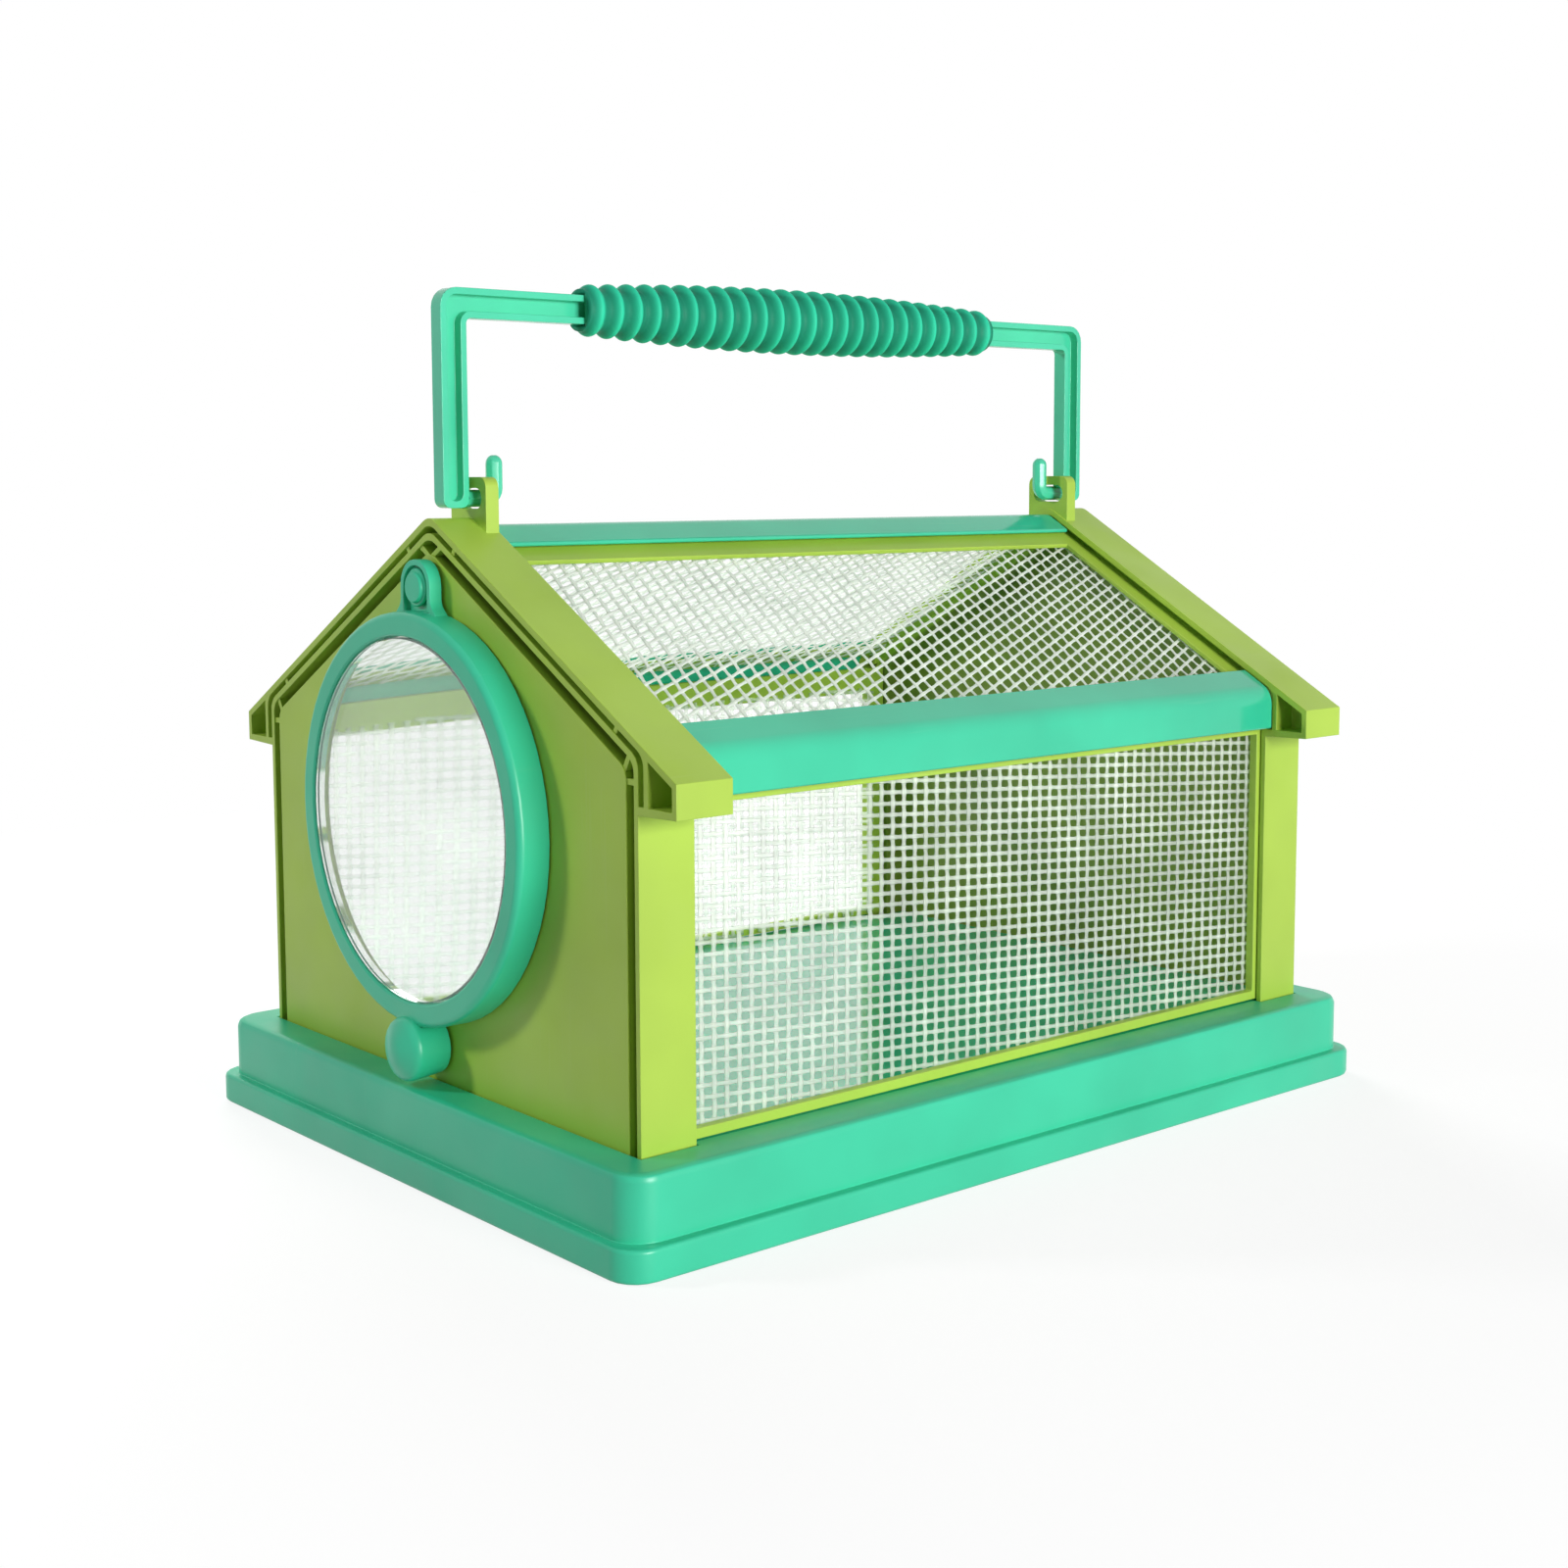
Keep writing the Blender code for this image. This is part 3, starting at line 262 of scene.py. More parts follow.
def mixed(tree, share, first, second):
    """Shader that goes from the first to the second by a share; a first of None is black."""
    node = put(tree, "ShaderNodeMixShader", {0: share, 2: second})
    if first is not None:
        feed(tree, node.inputs[1], first)
    return node.outputs[0]


def added(tree, first, second):
    """Sum of two shaders."""
    return put(tree, "ShaderNodeAddShader", {0: first, 1: second}).outputs[0]


def show(tree, shader, output="ShaderNodeOutputMaterial"):
    """Puts a shader on the surface."""
    put(tree, output, {"Surface": shader})


def part_place(tree):
    """Place on the piece, in the piece's own coordinates."""
    return put(tree, "ShaderNodeTexCoord").outputs["Object"]


def part_axes(tree):
    """The X, Y and Z of the place on the piece."""
    return put(tree, "ShaderNodeSeparateXYZ", {"Vector": part_place(tree)}).outputs


def noise(tree, place, scale, detail):
    """Noise over a place, from 0 to 1."""
    values = {"Vector": place, "Scale": scale, "Detail": detail}
    return put(tree, "ShaderNodeTexNoise", values).outputs[0]


def seen_rays(tree):
    """1 where the eye sees, straight or by a glossy or clear face, and 0 for light alone."""
    ray = put(tree, "ShaderNodeLightPath").outputs
    seen = reckon(tree, "MAXIMUM", ray["Is Camera Ray"], ray["Is Glossy Ray"])
    return reckon(tree, "MAXIMUM", seen, ray["Is Transmission Ray"])


def blank_material(name):
    """Material with an empty node tree."""
    material = bpy.data.materials.new(name)
    material.use_nodes = True
    material.node_tree.nodes.clear()
    return material, material.node_tree


def moulded_skin():
    """Drifting tone, drifting gloss and fine grain of an injection-moulded face."""
    group = bpy.data.node_groups.new("moulded skin", "ShaderNodeTree")
    inside, outside = sockets(
        group,
        [
            ("Colour", "NodeSocketColor", opaque(TEAL)),
            ("Tone Drift", "NodeSocketFloat", TONE_DRIFT),
            ("Gloss", "NodeSocketFloat", SATIN_FINISH["gloss"]),
            ("Gloss Drift", "NodeSocketFloat", GLOSS_DRIFT),
        ],
        [
            ("Colour", "NodeSocketColor"),
            ("Roughness", "NodeSocketFloat"),
            ("Height", "NodeSocketFloat"),
        ],
    )
    given = inside.outputs
    place = part_place(group)
    flow = spread(group, noise(group, place, *FLOW_NOISE), *FLOW_RANGE, -1.0, 1.0)
    value = reckon(group, "ADD", reckon(group, "MULTIPLY", flow, given["Tone Drift"]), 1.0)
    tint = put(group, "ShaderNodeHueSaturation", {"Color": given["Colour"], "Value": value})
    smudge = spread(group, noise(group, place, *SMUDGE_NOISE), *WIDE_RANGE, -0.5, 0.5)
    gloss = reckon(group, "MULTIPLY", smudge, given["Gloss Drift"])
    grain = reckon(group, "MULTIPLY", noise(group, place, *GRAIN_NOISE), GRAIN_SHARE)
    peel = reckon(group, "MULTIPLY", noise(group, place, *PEEL_NOISE), PEEL_SHARE)
    feed(group, outside.inputs["Colour"], tint.outputs[0])
    feed(group, outside.inputs["Roughness"], reckon(group, "ADD", given["Gloss"], gloss))
    feed(group, outside.inputs["Height"], reckon(group, "ADD", grain, peel))
    return group


def handling_scuffs():
    """Mask of faint crossing hairlines in patches, as handling leaves on plastic."""
    group = bpy.data.node_groups.new("handling scuffs", "ShaderNodeTree")
    amount = [("Amount", "NodeSocketFloat", SATIN_FINISH["scuffing"])]
    inside, outside = sockets(group, amount, [("Mask", "NodeSocketFloat")])
    place = part_place(group)
    hairlines = []
    for turn in HAIRLINE_TURNS:
        values = {"Vector": place, "Rotation": turn, "Scale": HAIRLINE_STRETCH}
        stretched = put(group, "ShaderNodeMapping", values).outputs[0]
        lines = noise(group, stretched, *HAIRLINE_NOISE)
        hairlines.append(spread(group, lines, *HAIRLINE_RANGE, 0.0, 1.0))
    crossing = reckon(group, "MAXIMUM", *hairlines)
    patches = spread(group, noise(group, place, *PATCH_NOISE), *PATCH_RANGE, 0.0, 1.0)
    patchy = reckon(group, "MULTIPLY", crossing, patches)
    mask = reckon(group, "MULTIPLY", patchy, inside.outputs["Amount"])
    feed(group, outside.inputs["Mask"], mask)
    return group


def groove_painted_shade(tree):
    """Painted light along the grip: full colour as a painted highlight on the rib crests, painted
    shade down in the grooves.
    """
    low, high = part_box("handle_grip")
    along = part_axes(tree)["Y"]
    turns = reckon(tree, "MULTIPLY", along, math.tau * GRIP_RIBS / (high.y - low.y))
    crest = spread(tree, reckon(tree, "COSINE", turns, 0.0), -1.0, 1.0, 0.0, 1.0)
    # Painted highlight: a pale line along each crest, painted shade away from it
    line = reckon(tree, "POWER", crest, GRIP_PAINTED_CREST_LINE)
    return spread(tree, line, 0.0, 1.0, GRIP_GROOVE_PAINTED_SHADE, 1.0)


def house_place(tree):
    """Distances across and along from the middle of the house, and the height."""
    place = part_axes(tree)
    across = reckon(tree, "ABSOLUTE", place["X"], 0.0)
    along = reckon(tree, "ABSOLUTE", place["Y"], 0.0)
    return across, along, place["Z"]


def soft_step(tree, value, limit, below, above):
    """One value below a limit and another above it, with a soft change between them."""
    return spread(tree, value, limit - MASK_SOFTNESS, limit + MASK_SOFTNESS, below, above)


def inside_painted_shade(tree):
    """Painted shade on an end wall: full colour outside, painted darker inside the cage, where the
    cage's shade falls.
    """
    across, along, height = house_place(tree)
    fall = reckon(tree, "MULTIPLY", across, math.tan(ROOF_PITCH))
    depth = reckon(tree, "SUBTRACT", reckon(tree, "SUBTRACT", PEAK, fall), height)
    inner = soft_step(tree, along, END_INNER_FACE, 1.0, 0.0)
    between = soft_step(tree, across, WALL_INNER_EDGE, 1.0, 0.0)
    under = soft_step(tree, depth, WALL_INNER_TOP, 0.0, 1.0)
    mask = reckon(tree, "MULTIPLY", reckon(tree, "MULTIPLY", inner, between), under)
    return spread(tree, mask, 0.0, 1.0, 1.0, WALL_INNER_PAINTED_SHADE)


def floor_polish(tree):
    """Mask of the middle of the base, between the walls, where it is the cage's floor."""
    across, along, _ = house_place(tree)
    between = soft_step(tree, across, FLOOR_HALF_WIDTH, 1.0, 0.0)
    inner = soft_step(tree, along, END_INNER_FACE, 1.0, 0.0)
    return reckon(tree, "MULTIPLY", between, inner)


def moulded_plastic(
    name, colour, gloss, grain_depth, scuffing, tone=None, polish=None, sheen=PLAIN_SHEEN
):
    """Moulded plastic from the two groups; tone lays painted shade on its colour, polish smooths a
    part of it.
    """
    material, tree = blank_material(name)
    values = {"Colour": opaque(colour), "Gloss": gloss}
    skin = put(tree, "ShaderNodeGroup", values, node_tree=SKIN).outputs
    scuffs = put(tree, "ShaderNodeGroup", {"Amount": scuffing}, node_tree=SCUFFS).outputs["Mask"]
    scuffed = opaque(SCUFF_KEEPS * part + SCUFF_WHITE for part in colour)
    surface = blend(tree, scuffs, skin["Colour"], scuffed)
    # Painted shade and highlight from the tone mask, multiplied into the colour
    if tone:
        surface = blend(tree, 1.0, surface, tone(tree), "MULTIPLY")
    worn = reckon(tree, "MULTIPLY", scuffs, SCUFF_ROUGHNESS)
    rough = reckon(tree, "ADD", skin["Roughness"], worn)
    relief = {"Height": skin["Height"], "Strength": GRAIN_STRENGTH, "Distance": grain_depth}
    bump = put(tree, "ShaderNodeBump", relief)
    shader = put(tree, "ShaderNodeBsdfPrincipled", {"Specular IOR Level": sheen})
    if polish:
        mask = polish(tree)
        smoother = spread(tree, mask, 0.0, 1.0, 1.0, FLOOR_ROUGHNESS)
        rough = reckon(tree, "MULTIPLY", rough, smoother)
        coat = spread(tree, mask, 0.0, 1.0, 0.0, FLOOR_COAT)
        feed(tree, shader.inputs["Coat Weight"], coat)
    feed(tree, shader.inputs["Base Color"], surface)
    feed(tree, shader.inputs["Roughness"], rough)
    feed(tree, shader.inputs["Normal"], bump.outputs[0])
    show(tree, shader.outputs[0])
    return material


def white_yarn(name, own_white, clear_share):
    """Thin pale yarn with a fibre grain that lets light and the colours behind it through."""
    material, tree = blank_material(name)
    place = part_place(tree)
    fibre = noise(tree, place, *FIBRE_NOISE)
    drift = noise(tree, place, *YARN_NOISE)
    tone = blend(tree, drift, opaque(YARN_DULL), opaque(YARN_PALE))
    relief = {"Height": fibre, "Strength": FIBRE_STRENGTH, "Distance": FIBRE_DEPTH}
    shader = put(tree, "ShaderNodeBsdfPrincipled", {"Base Color": tone})
    rough = spread(tree, fibre, *WIDE_RANGE, *YARN_ROUGHNESS)
    feed(tree, shader.inputs["Roughness"], rough)
    feed(tree, shader.inputs["Normal"], put(tree, "ShaderNodeBump", relief).outputs[0])
    through = put(tree, "ShaderNodeBsdfTranslucent", {"Color": tone})
    lit = mixed(tree, YARN_LIGHT_THROUGH, shader.outputs[0], through.outputs[0])
    body = mixed(tree, spread(tree, drift, *WIDE_RANGE, *own_white), None, lit)
    to_lamp = put(tree, "ShaderNodeLightPath").outputs["Is Shadow Ray"]
    passed = spread(tree, to_lamp, 0.0, 1.0, clear_share, YARN_CLEAR_TO_LAMPS)
    clear = put(tree, "ShaderNodeBsdfTransparent", {"Color": passed})
    show(tree, added(tree, clear.outputs[0], body))
    return material


def clear_sheet():
    """Clear moulded plastic with hairlines and a faint milky veil."""
    material, tree = blank_material("clear sheet")
    amount = {"Amount": PANE_SCUFFING}
    scuffs = put(tree, "ShaderNodeGroup", amount, node_tree=SCUFFS).outputs["Mask"]
    clearness = {"IOR": PANE_IOR, "Transmission Weight": PANE_CLEARNESS}
    shader = put(tree, "ShaderNodeBsdfPrincipled", clearness)
    tint = blend(tree, scuffs, opaque(PANE_TINT), opaque(PANE_SCUFF_TINT))
    feed(tree, shader.inputs["Base Color"], tint)
    feed(tree, shader.inputs["Roughness"], spread(tree, scuffs, 0.0, 1.0, *PANE_ROUGHNESS))
    show(tree, shader.outputs[0])
    return material


def smooth_faces():
    """Geometry group that smooths a solid's faces and keeps its true corners sharp."""
    group = bpy.data.node_groups.new("smooth faces", "GeometryNodeTree")
    for way in ("INPUT", "OUTPUT"):
        group.interface.new_socket("Geometry", in_out=way, socket_type="NodeSocketGeometry")
    first = put(group, "NodeGroupInput")
    smooth = put(group, "GeometryNodeSetShadeSmooth", {0: first.outputs[0]})
    fold = put(group, "GeometryNodeInputMeshEdgeAngle")
    values = {0: fold.outputs[0], 1: SHARP_FOLD}
    steep = put(group, "FunctionNodeCompare", values, operation="GREATER_THAN")
    values = {0: smooth.outputs[0], "Selection": steep.outputs[0], "Shade Smooth": False}
    sharp = put(group, "GeometryNodeSetShadeSmooth", values, domain="EDGE")
    put(group, "NodeGroupOutput", {0: sharp.outputs[0]})
    return group


def dress_solid(node, material, edge):
    """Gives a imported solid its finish, and soft moulded edges of this radius."""
    item = NODES[node]
    item.data.materials.clear()
    item.data.materials.append(material)
    weld = item.modifiers.new("weld", "WELD")
    weld.merge_threshold = WELD_REACH
    plain = item.modifiers.new("plain faces", "DECIMATE")
    plain.decimate_type = "DISSOLVE"
    plain.angle_limit = PLAIN_FOLD
    soft = item.modifiers.new("soft edges", "BEVEL")
    soft.width = edge
    soft.segments = EDGE_STEPS
    soft.limit_method = "ANGLE"
    soft.angle_limit = EDGE_FOLD
    soft.use_clamp_overlap = False
    smooth = item.modifiers.new("smooth", "NODES")
    smooth.node_group = SMOOTH
    flat = item.modifiers.new("flat faces", "WEIGHTED_NORMAL")
    flat.mode = "FACE_AREA"
    flat.weight = FLAT_WEIGHT
    flat.keep_sharp = True


def piece(name, mesh, material, slot, body, *nodes):
    """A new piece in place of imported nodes."""
    mesh.shade_smooth()
    mesh.materials.append(material)
    item = bpy.data.objects.new(name, mesh)
    bpy.context.scene.collection.objects.link(item)
    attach(item, body)
    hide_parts(*nodes)


def finished_mesh(name, shape):
    """Mesh of a finished shape, its faces turned outwards."""
    bmesh.ops.recalc_face_normals(shape, faces=shape.faces)
    mesh = bpy.data.meshes.new(name)
    shape.to_mesh(mesh)
    shape.free()
    return mesh


def join_rings(shape, before, after):
    """Faces between two rings with the same number of points."""
    for step in range(len(before)):
        far = (step + 1) % len(before)
        shape.faces.new((before[step], before[far], after[far], after[step]))


def turned_ring(shape, turns, reaches, place, middle):
    """Ring of points round an axis along Y, at these distances from it."""
    ring = []
    for turn, reach in zip(turns, reaches):
        point = (reach * math.cos(turn), place, middle + reach * math.sin(turn))
        ring.append(shape.verts.new(point))
    return ring


def across_strands(strand_set):
    """Direction across a set of strands, in the net's plane."""
    lie = math.radians(strand_set["lie"])
    return Vector((math.cos(lie), math.sin(lie)))


def clipped(low, high, across, offset):
    """The line this far out in the direction across, cut off at a rectangle's sides."""
    run = Vector((-across.y, across.x))
    start = across * offset
    first, last = -math.inf, math.inf
    for axis in (0, 1):
        if abs(run[axis]) < TINY:
            if not low[axis] <= start[axis] <= high[axis]:
                return None
            continue
        hits = sorted((side[axis] - start[axis]) / run[axis] for side in (low, high))
        first = max(first, hits[0])
        last = min(last, hits[1])
    if last - first < SHORTEST_STRAND:
        return None
    return start, run, first, last


def strand_rings(weave, line, own, other, over):
    """Rings of points along one strand, which rises, dips and swells at the other set."""
    start, run, first, last = line
    own_across = across_strands(own)
    other_across = across_strands(other)
    pace = run.dot(other_across) / other["spacing"]
    begin = start.dot(other_across) / other["spacing"]
    ticks = sorted((begin + first * pace, begin + last * pace))
    halves = range(math.ceil(ticks[0] * 2), math.floor(ticks[1] * 2) + 1)
    rings = []
    for tick in (ticks[0], *[half / 2 for half in halves], ticks[1]):
        place = start + run * ((tick - begin) / pace)
        rise = WEAVE_RISE * over * math.cos(math.pi * tick)
        half_width = own["yarn"] / 2 * (1 + KNOT_SWELL * math.cos(math.tau * tick))
        ring = []
        for side in range(YARN_SIDES):
            angle = math.tau * side / YARN_SIDES
            sideways = place + own_across * half_width * math.cos(angle)
            height = rise + YARN_THICKNESS / 2 * math.sin(angle)
            ring.append(weave.verts.new((sideways.x, sideways.y, height)))
        rings.append(ring)
    return rings


def strands(weave, low, high, own, other, lift):
    """Adds one set of woven strands, each passing over and under the other set."""
    across = across_strands(own)
    corners = [Vector((y, up)).dot(across) for y in (low[0], high[0]) for up in (low[1], high[1])]
    nearest = math.ceil(min(corners) / own["spacing"])
    farthest = math.floor(max(corners) / own["spacing"])
    for count in range(nearest, farthest + 1):
        line = clipped(low, high, across, count * own["spacing"])
        if line is None:
            continue
        rings = strand_rings(weave, line, own, other, lift if count % 2 else -lift)
        for before, after in zip(rings, rings[1:]):
            join_rings(weave, before, after)
        weave.faces.new(rings[0])
        weave.faces.new(rings[-1][::-1])


def woven_net(name, low, high, first, second, yarn, axes, node):
    """Net of two sets of strands over a rectangle, laid in place by its axes."""
    weave = bmesh.new()
    strands(weave, low, high, first, second, 1)
    strands(weave, low, high, second, first, -1)
    mesh = finished_mesh(name, weave)
    mesh.transform(axes)
    piece(name, mesh, yarn, "white_net", "house", node)


def side_net(name):
    """Upright net in the middle of its solid, its plane along Y and Z."""
    low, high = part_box(f"side_net_{name}")
    middle = (low.x + high.x) / 2
    axes = Matrix(((0, 0, 1, middle), (1, 0, 0, 0), (0, 1, 0, 0), (0, 0, 0, 1)))
    low, high = (low.y, low.z), (high.y, high.z)
    net, node = f"woven_side_net_{name}", f"side_net_{name}"
    woven_net(net, low, high, SIDE_UPRIGHTS, SIDE_ROWS, SIDE_YARN, axes, node)


def roof_net(name, side):
    """Sloping net below the roof's top line, its plane along Y and down the slope."""
    low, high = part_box(f"roof_net_{name}")
    down = Vector((side * math.cos(ROOF_PITCH), 0, -math.sin(ROOF_PITCH)))
    out = Vector((side * math.sin(ROOF_PITCH), 0, math.cos(ROOF_PITCH)))
    along = Vector((0, 1, 0))
    axes = Matrix((along, down, along.cross(down))).transposed().to_4x4()
    axes.translation = Vector((0, 0, PEAK)) - out * ROOF_NET_DEPTH
    upper, lower = (
        (across + ROOF_NET_DEPTH * math.sin(ROOF_PITCH)) / math.cos(ROOF_PITCH)
        for across in sorted((abs(low.x), abs(high.x)))
    )
    low, high = (low.y, upper), (high.y, lower)
    net, node = f"woven_roof_net_{name}", f"roof_net_{name}"
    woven_net(net, low, high, ROOF_FALLS, ROOF_ROWS, ROOF_YARN, axes, node)


def rib_profile(half, crown):
    """Radius and place of each point along the grip's ribs, from one end to the other."""
    pitch = 2 * half / GRIP_RIBS
    profile = []
    for rib in range(GRIP_RIBS):
        centre = half - (rib + 0.5) * pitch
        crest = GRIP_END_RADIUS + (crown - GRIP_END_RADIUS) * (1 - (centre / half) ** 2)
        foot = max(GRIP_CORE_RADIUS, crest - GRIP_GROOVE_DEPTH)
        for step in range(GRIP_POINTS_PER_RIB):
            offset = (0.5 - step / GRIP_POINTS_PER_RIB) * pitch
            bulge = (0.5 + 0.5 * math.cos(math.tau * offset / pitch)) ** GRIP_CREST_SHARPNESS
            profile.append((foot + (crest - foot) * bulge, centre + offset))
    profile.append((GRIP_CORE_RADIUS, -half))
    return profile


def bore_reach(turn):
    """Distance from the grip's middle to the side of its square-cornered bore."""
    across = GRIP_BORE_HALF[0] / max(TINY, abs(math.cos(turn)))
    upright = GRIP_BORE_HALF[1] / max(TINY, abs(math.sin(turn)))
    return min(across, upright)


def ribbed_grip():
    """Barrel-shaped sleeve with narrow ribs and hollow grooves, bored for the bar."""
    low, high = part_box("handle_grip")
    half = (high.y - low.y) / 2
    middle = (low.z + high.z) / 2
    turns = [math.tau * (step + 0.5) / GRIP_ROUND for step in range(GRIP_ROUND)]
    bore = [bore_reach(turn) for turn in turns]
    skin = bmesh.new()
    rings = []
    for radius, place in rib_profile(half, (high.z - low.z) / 2):
        rings.append(turned_ring(skin, turns, [radius] * GRIP_ROUND, place, middle))
    for place in (-half, half):
        rings.append(turned_ring(skin, turns, bore, place, middle))
    for before, after in zip(rings, rings[1:] + rings[:1]):
        join_rings(skin, before, after)
    mesh = finished_mesh("ribbed_grip", skin)
    piece("ribbed_grip", mesh, GRIP_PLASTIC, "grip_plastic", "handle", "handle_grip")


def pane_profile(low, high, radius):
    """Radius and place of each ring of the pane, from its domed front to its boss behind."""
    flange = high.y - PANE_FLANGE
    edge = flange - PANE_RAISE
    middle = radius - PANE_FLANGE_WIDTH
    rings = []
    for step in range(1, PANE_RINGS + 1):
        share = step / PANE_RINGS
        rings.append(((middle - PANE_EDGE_ROUND) * share, edge - (edge - low.y) * (1 - share**2)))
    return rings + [
        (middle, edge + PANE_EDGE_ROUND),
        (middle, flange),
        (radius, flange),
        (radius, high.y),
        (middle, high.y),
        (middle, high.y + PANE_BOSS),
    ]


def domed_pane():
    """Clear pane with a slightly domed middle raised into the ring and a flat boss behind."""
    low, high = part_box("door_pane")
    centre = (low.z + high.z) / 2
    turns = [math.tau * step / PANE_ROUND for step in range(PANE_ROUND)]
    disc = bmesh.new()
    rings = []
    for reach, place in pane_profile(low, high, (high.x - low.x) / 2):
        rings.append(turned_ring(disc, turns, [reach] * PANE_ROUND, place, centre))
    front = disc.verts.new((0, low.y, centre))
    for step in range(PANE_ROUND):
        far = (step + 1) % PANE_ROUND
        disc.faces.new((front, rings[0][step], rings[0][far]))
    for inner, outer in zip(rings, rings[1:]):
        join_rings(disc, inner, outer)
    disc.faces.new(rings[-1])
    mesh = finished_mesh("domed_pane", disc)
    piece("domed_pane", mesh, PANE, "clear_plastic", "door", "door_pane")
    mesh.set_sharp_from_angle(angle=PANE_FOLD)


def floor_paper():
    """Grey as light on the cage; to the eye white, apart from the cage's own shadow."""
    material, tree = blank_material("studio floor")
    paper = put(tree, "ShaderNodeBsdfDiffuse", {"Color": opaque(STUDIO_FLOOR_LIGHT)})
    shade = put(tree, "ShaderNodeBsdfDiffuse", {"Color": opaque(STUDIO_FLOOR_SHADE)})
    glow = put(tree, "ShaderNodeEmission", {"Strength": STUDIO_FLOOR_GLOW})
    white = put(tree, "ShaderNodeEmission")
    place = put(tree, "ShaderNodeNewGeometry").outputs["Position"]
    reach = put(tree, "ShaderNodeVectorMath", {0: place}, operation="LENGTH").outputs["Value"]
    away = spread(tree, reach, *STUDIO_FLOOR_FADE, 0.0, 1.0)
    shaded = added(tree, shade.outputs[0], glow.outputs[0])
    seen = mixed(tree, away, shaded, white.outputs[0])
    show(tree, mixed(tree, seen_rays(tree), paper.outputs[0], seen))
    return material


def studio_floor():
    """Wide round floor just below the base."""
    mesh = bpy.data.meshes.new("studio_floor")
    disc = bmesh.new()
    size = {"radius": STUDIO_FLOOR_RADIUS, "segments": STUDIO_FLOOR_SIDES}
    bmesh.ops.create_circle(disc, cap_ends=True, **size)
    disc.to_mesh(mesh)
    disc.free()
    floor = bpy.data.objects.new("studio_floor", mesh)
    floor.location.z = -STUDIO_FLOOR_DROP
    bpy.context.scene.collection.objects.link(floor)
    mesh.materials.append(floor_paper())


def studio_sky():
    """Even pale surround: white to the eye and in reflections, softer as light."""
    world = bpy.data.worlds.new("studio")
    world.use_nodes = True
    tree = world.node_tree
    tree.nodes.clear()
    white = put(tree, "ShaderNodeBackground", {"Color": opaque(WHITE)})
    soft = put(tree, "ShaderNodeBackground", {"Color": opaque(WHITE), "Strength": SKY_LIGHT})
    sky = mixed(tree, seen_rays(tree), soft.outputs[0], white.outputs[0])
    show(tree, sky, "ShaderNodeOutputWorld")
    bpy.context.scene.world = world


def lamp(name, towards, distance, size, watts, sheen=True):
    """Square soft lamp in this direction from the cage; sheen shows it on glossy faces."""
    data = bpy.data.lights.new(name, "AREA")
    data.size = size
    data.energy = watts
    item = bpy.data.objects.new(name, data)
    direction = Vector(towards).normalized()
    item.location = Vector(LAMP_AIM) + direction * distance
    item.rotation_euler = direction.to_track_quat("Z", "Y").to_euler()
    item.visible_glossy = sheen
    bpy.context.scene.collection.objects.link(item)


def photo_camera():
    """Camera at the photograph's place, with its lens and its shift."""
    data = bpy.data.cameras.new("photo_camera")
    data.sensor_width = CAMERA_SENSOR
    data.lens = CAMERA_LENS
    data.shift_x, data.shift_y = CAMERA_SHIFT
    data.clip_start = CAMERA_NEAREST
    item = bpy.data.objects.new("photo_camera", data)
    level = math.cos(CAMERA_DIP)
    ahead, aside = math.cos(CAMERA_YAW), math.sin(CAMERA_YAW)
    forward = Vector((-aside * level, ahead * level, -math.sin(CAMERA_DIP)))
    right = Vector((ahead, aside, 0))
    up = right.cross(forward)
    turn = Matrix.Rotation(CAMERA_ROLL, 3, forward)
    axes = Matrix((turn @ right, turn @ up, -forward)).transposed().to_4x4()
    axes.translation = CAMERA_PLACE
    item.matrix_world = axes
    bpy.context.scene.collection.objects.link(item)
    bpy.context.scene.camera = item


SKIN = moulded_skin()
SCUFFS = handling_scuffs()
SMOOTH = smooth_faces()
LIME_PLASTIC = moulded_plastic("lime moulding", LIME, **LIME_FINISH)
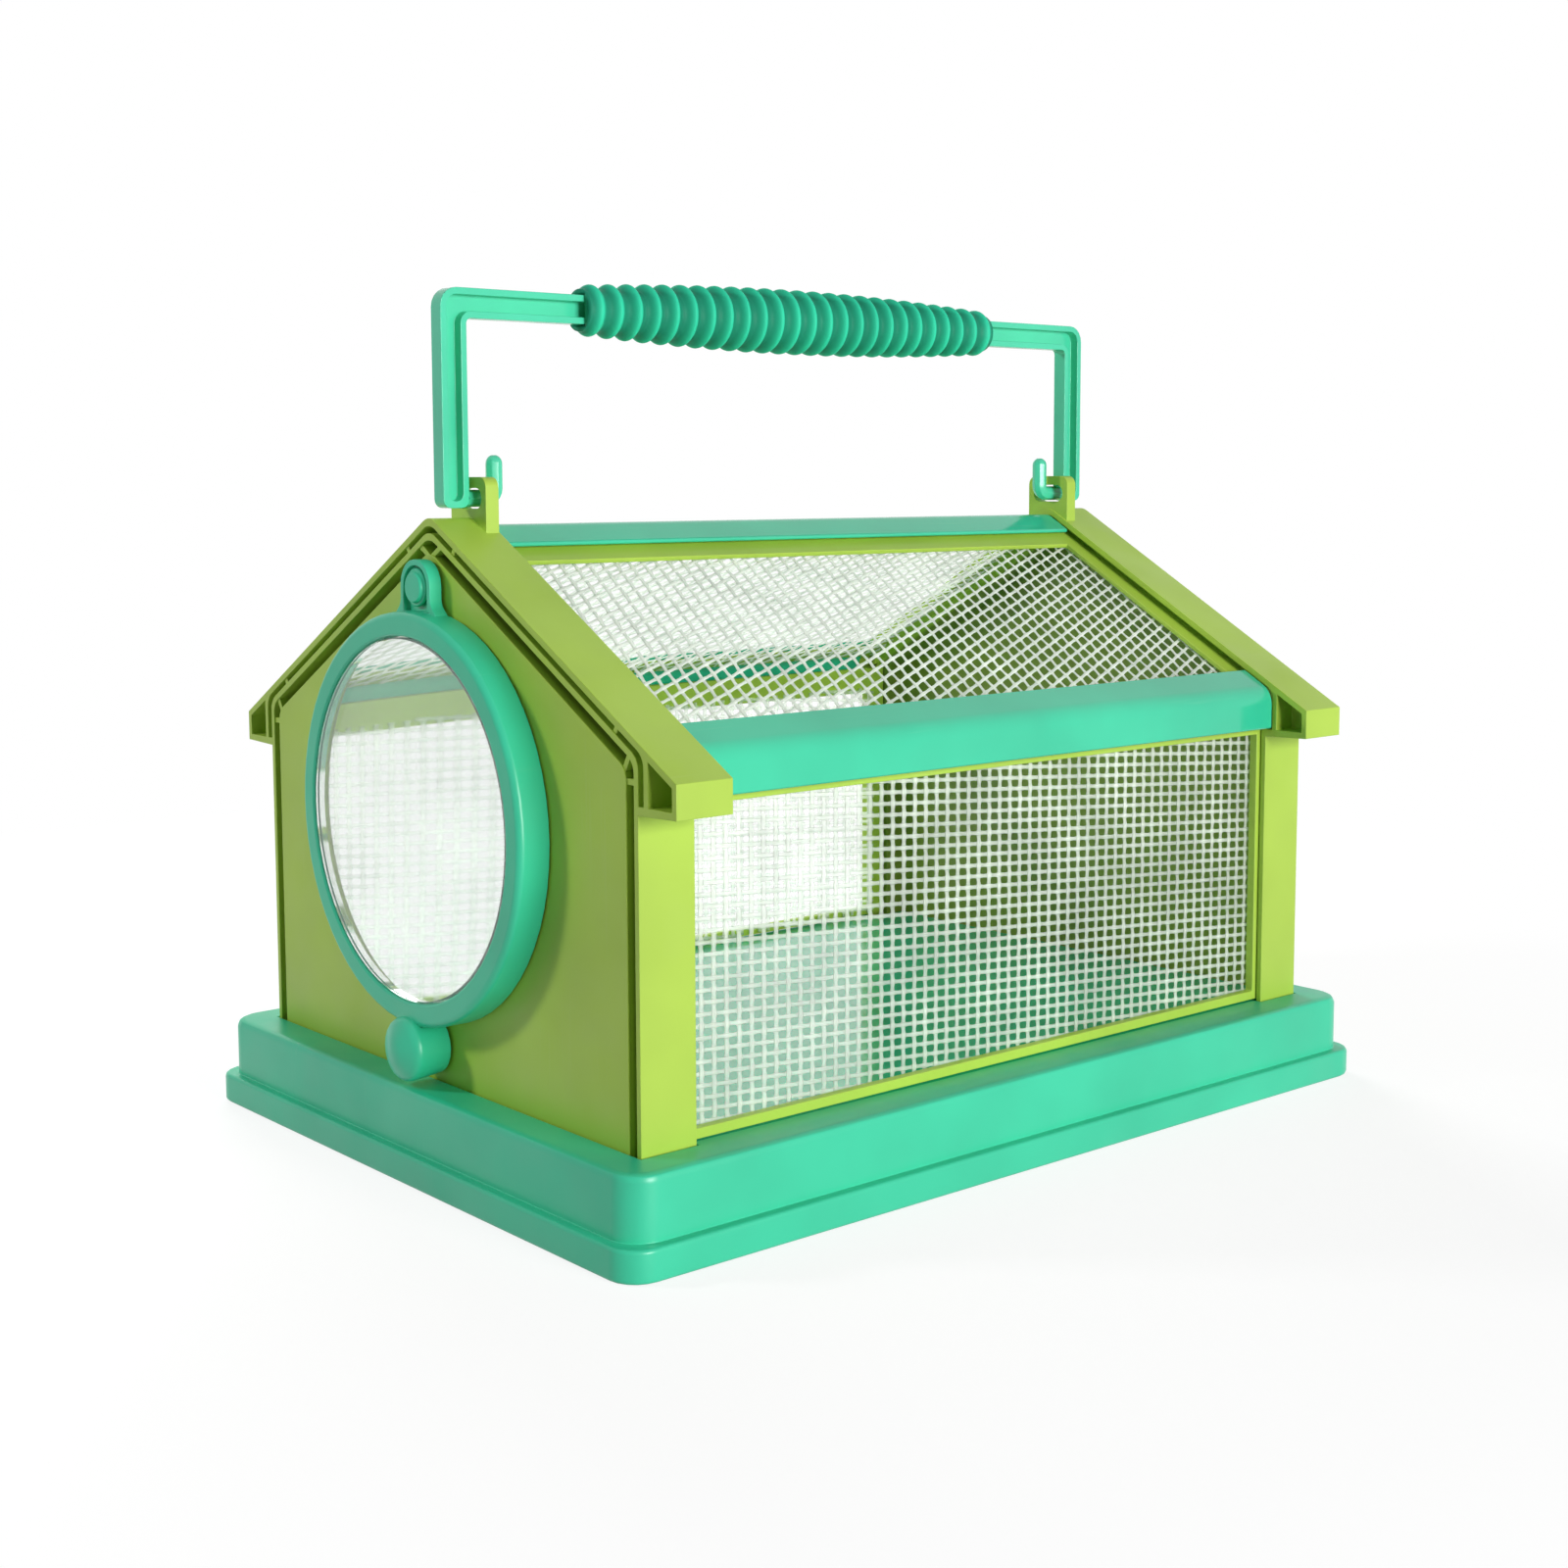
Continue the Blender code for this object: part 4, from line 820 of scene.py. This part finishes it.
# The end walls carry painted shade on their faces inside the cage.
WALL_PLASTIC = moulded_plastic("end wall moulding", LIME, **LIME_FINISH, tone=inside_painted_shade)
TEAL_PLASTIC = moulded_plastic("teal moulding", TEAL, **RAIL_FINISH)
BASE_PLASTIC = moulded_plastic("base moulding", TEAL, **SATIN_FINISH, polish=floor_polish)
DOOR_PLASTIC = moulded_plastic("door moulding", TEAL, **SATIN_FINISH)
# The handle's paler teal is painted light.
BAIL_PLASTIC = moulded_plastic("bail moulding", BAIL_TEAL_PAINTED_PALER, **BAIL_FINISH)
# The grip carries painted shade in its grooves and a painted highlight on its crests.
GRIP_PLASTIC = moulded_plastic("grip moulding", GRIP_PAINTED_CREST_TEAL, **GRIP_FINISH, tone=groove_painted_shade)
CLIP_PLASTIC = moulded_plastic("clip moulding", CLIP_WHITE, **CLIP_FINISH)
SIDE_YARN = white_yarn("side net yarn", SIDE_YARN_BODY, SIDE_YARN_CLEAR)
ROOF_YARN = white_yarn("roof net yarn", ROOF_YARN_BODY, ROOF_YARN_CLEAR)
PANE = clear_sheet()

for wall in ("gable_end_front", "gable_end_rear"):
    dress_solid(wall, WALL_PLASTIC, WALL_EDGE)
for window in ("side_frame_right", "side_frame_left", "roof_frame_right", "roof_frame_left"):
    dress_solid(window, LIME_PLASTIC, SOFT_EDGE)
dress_solid("base_tray", BASE_PLASTIC, SOFT_EDGE)
for cover in ("eave_rail_right", "eave_rail_left", "ridge_cap"):
    dress_solid(cover, TEAL_PLASTIC, SOFT_EDGE)
for door_part in ("door_ring", "pane_retainer", "door_pin"):
    dress_solid(door_part, DOOR_PLASTIC, FINE_EDGE)
dress_solid("handle_bail", BAIL_PLASTIC, FINE_EDGE)
dress_solid("pin_clip", CLIP_PLASTIC, SOFT_EDGE)

for side_name, side_sign in (("right", 1), ("left", -1)):
    side_net(side_name)
    roof_net(side_name, side_sign)
ribbed_grip()
domed_pane()

studio_floor()
studio_sky()
lamp("right_softbox", **RIGHT_LAMP)
lamp("left_softbox", **LEFT_LAMP, sheen=False)
lamp("rear_softbox", **REAR_LAMP, sheen=False)
photo_camera()
bpy.context.scene.view_settings.view_transform = "Standard"
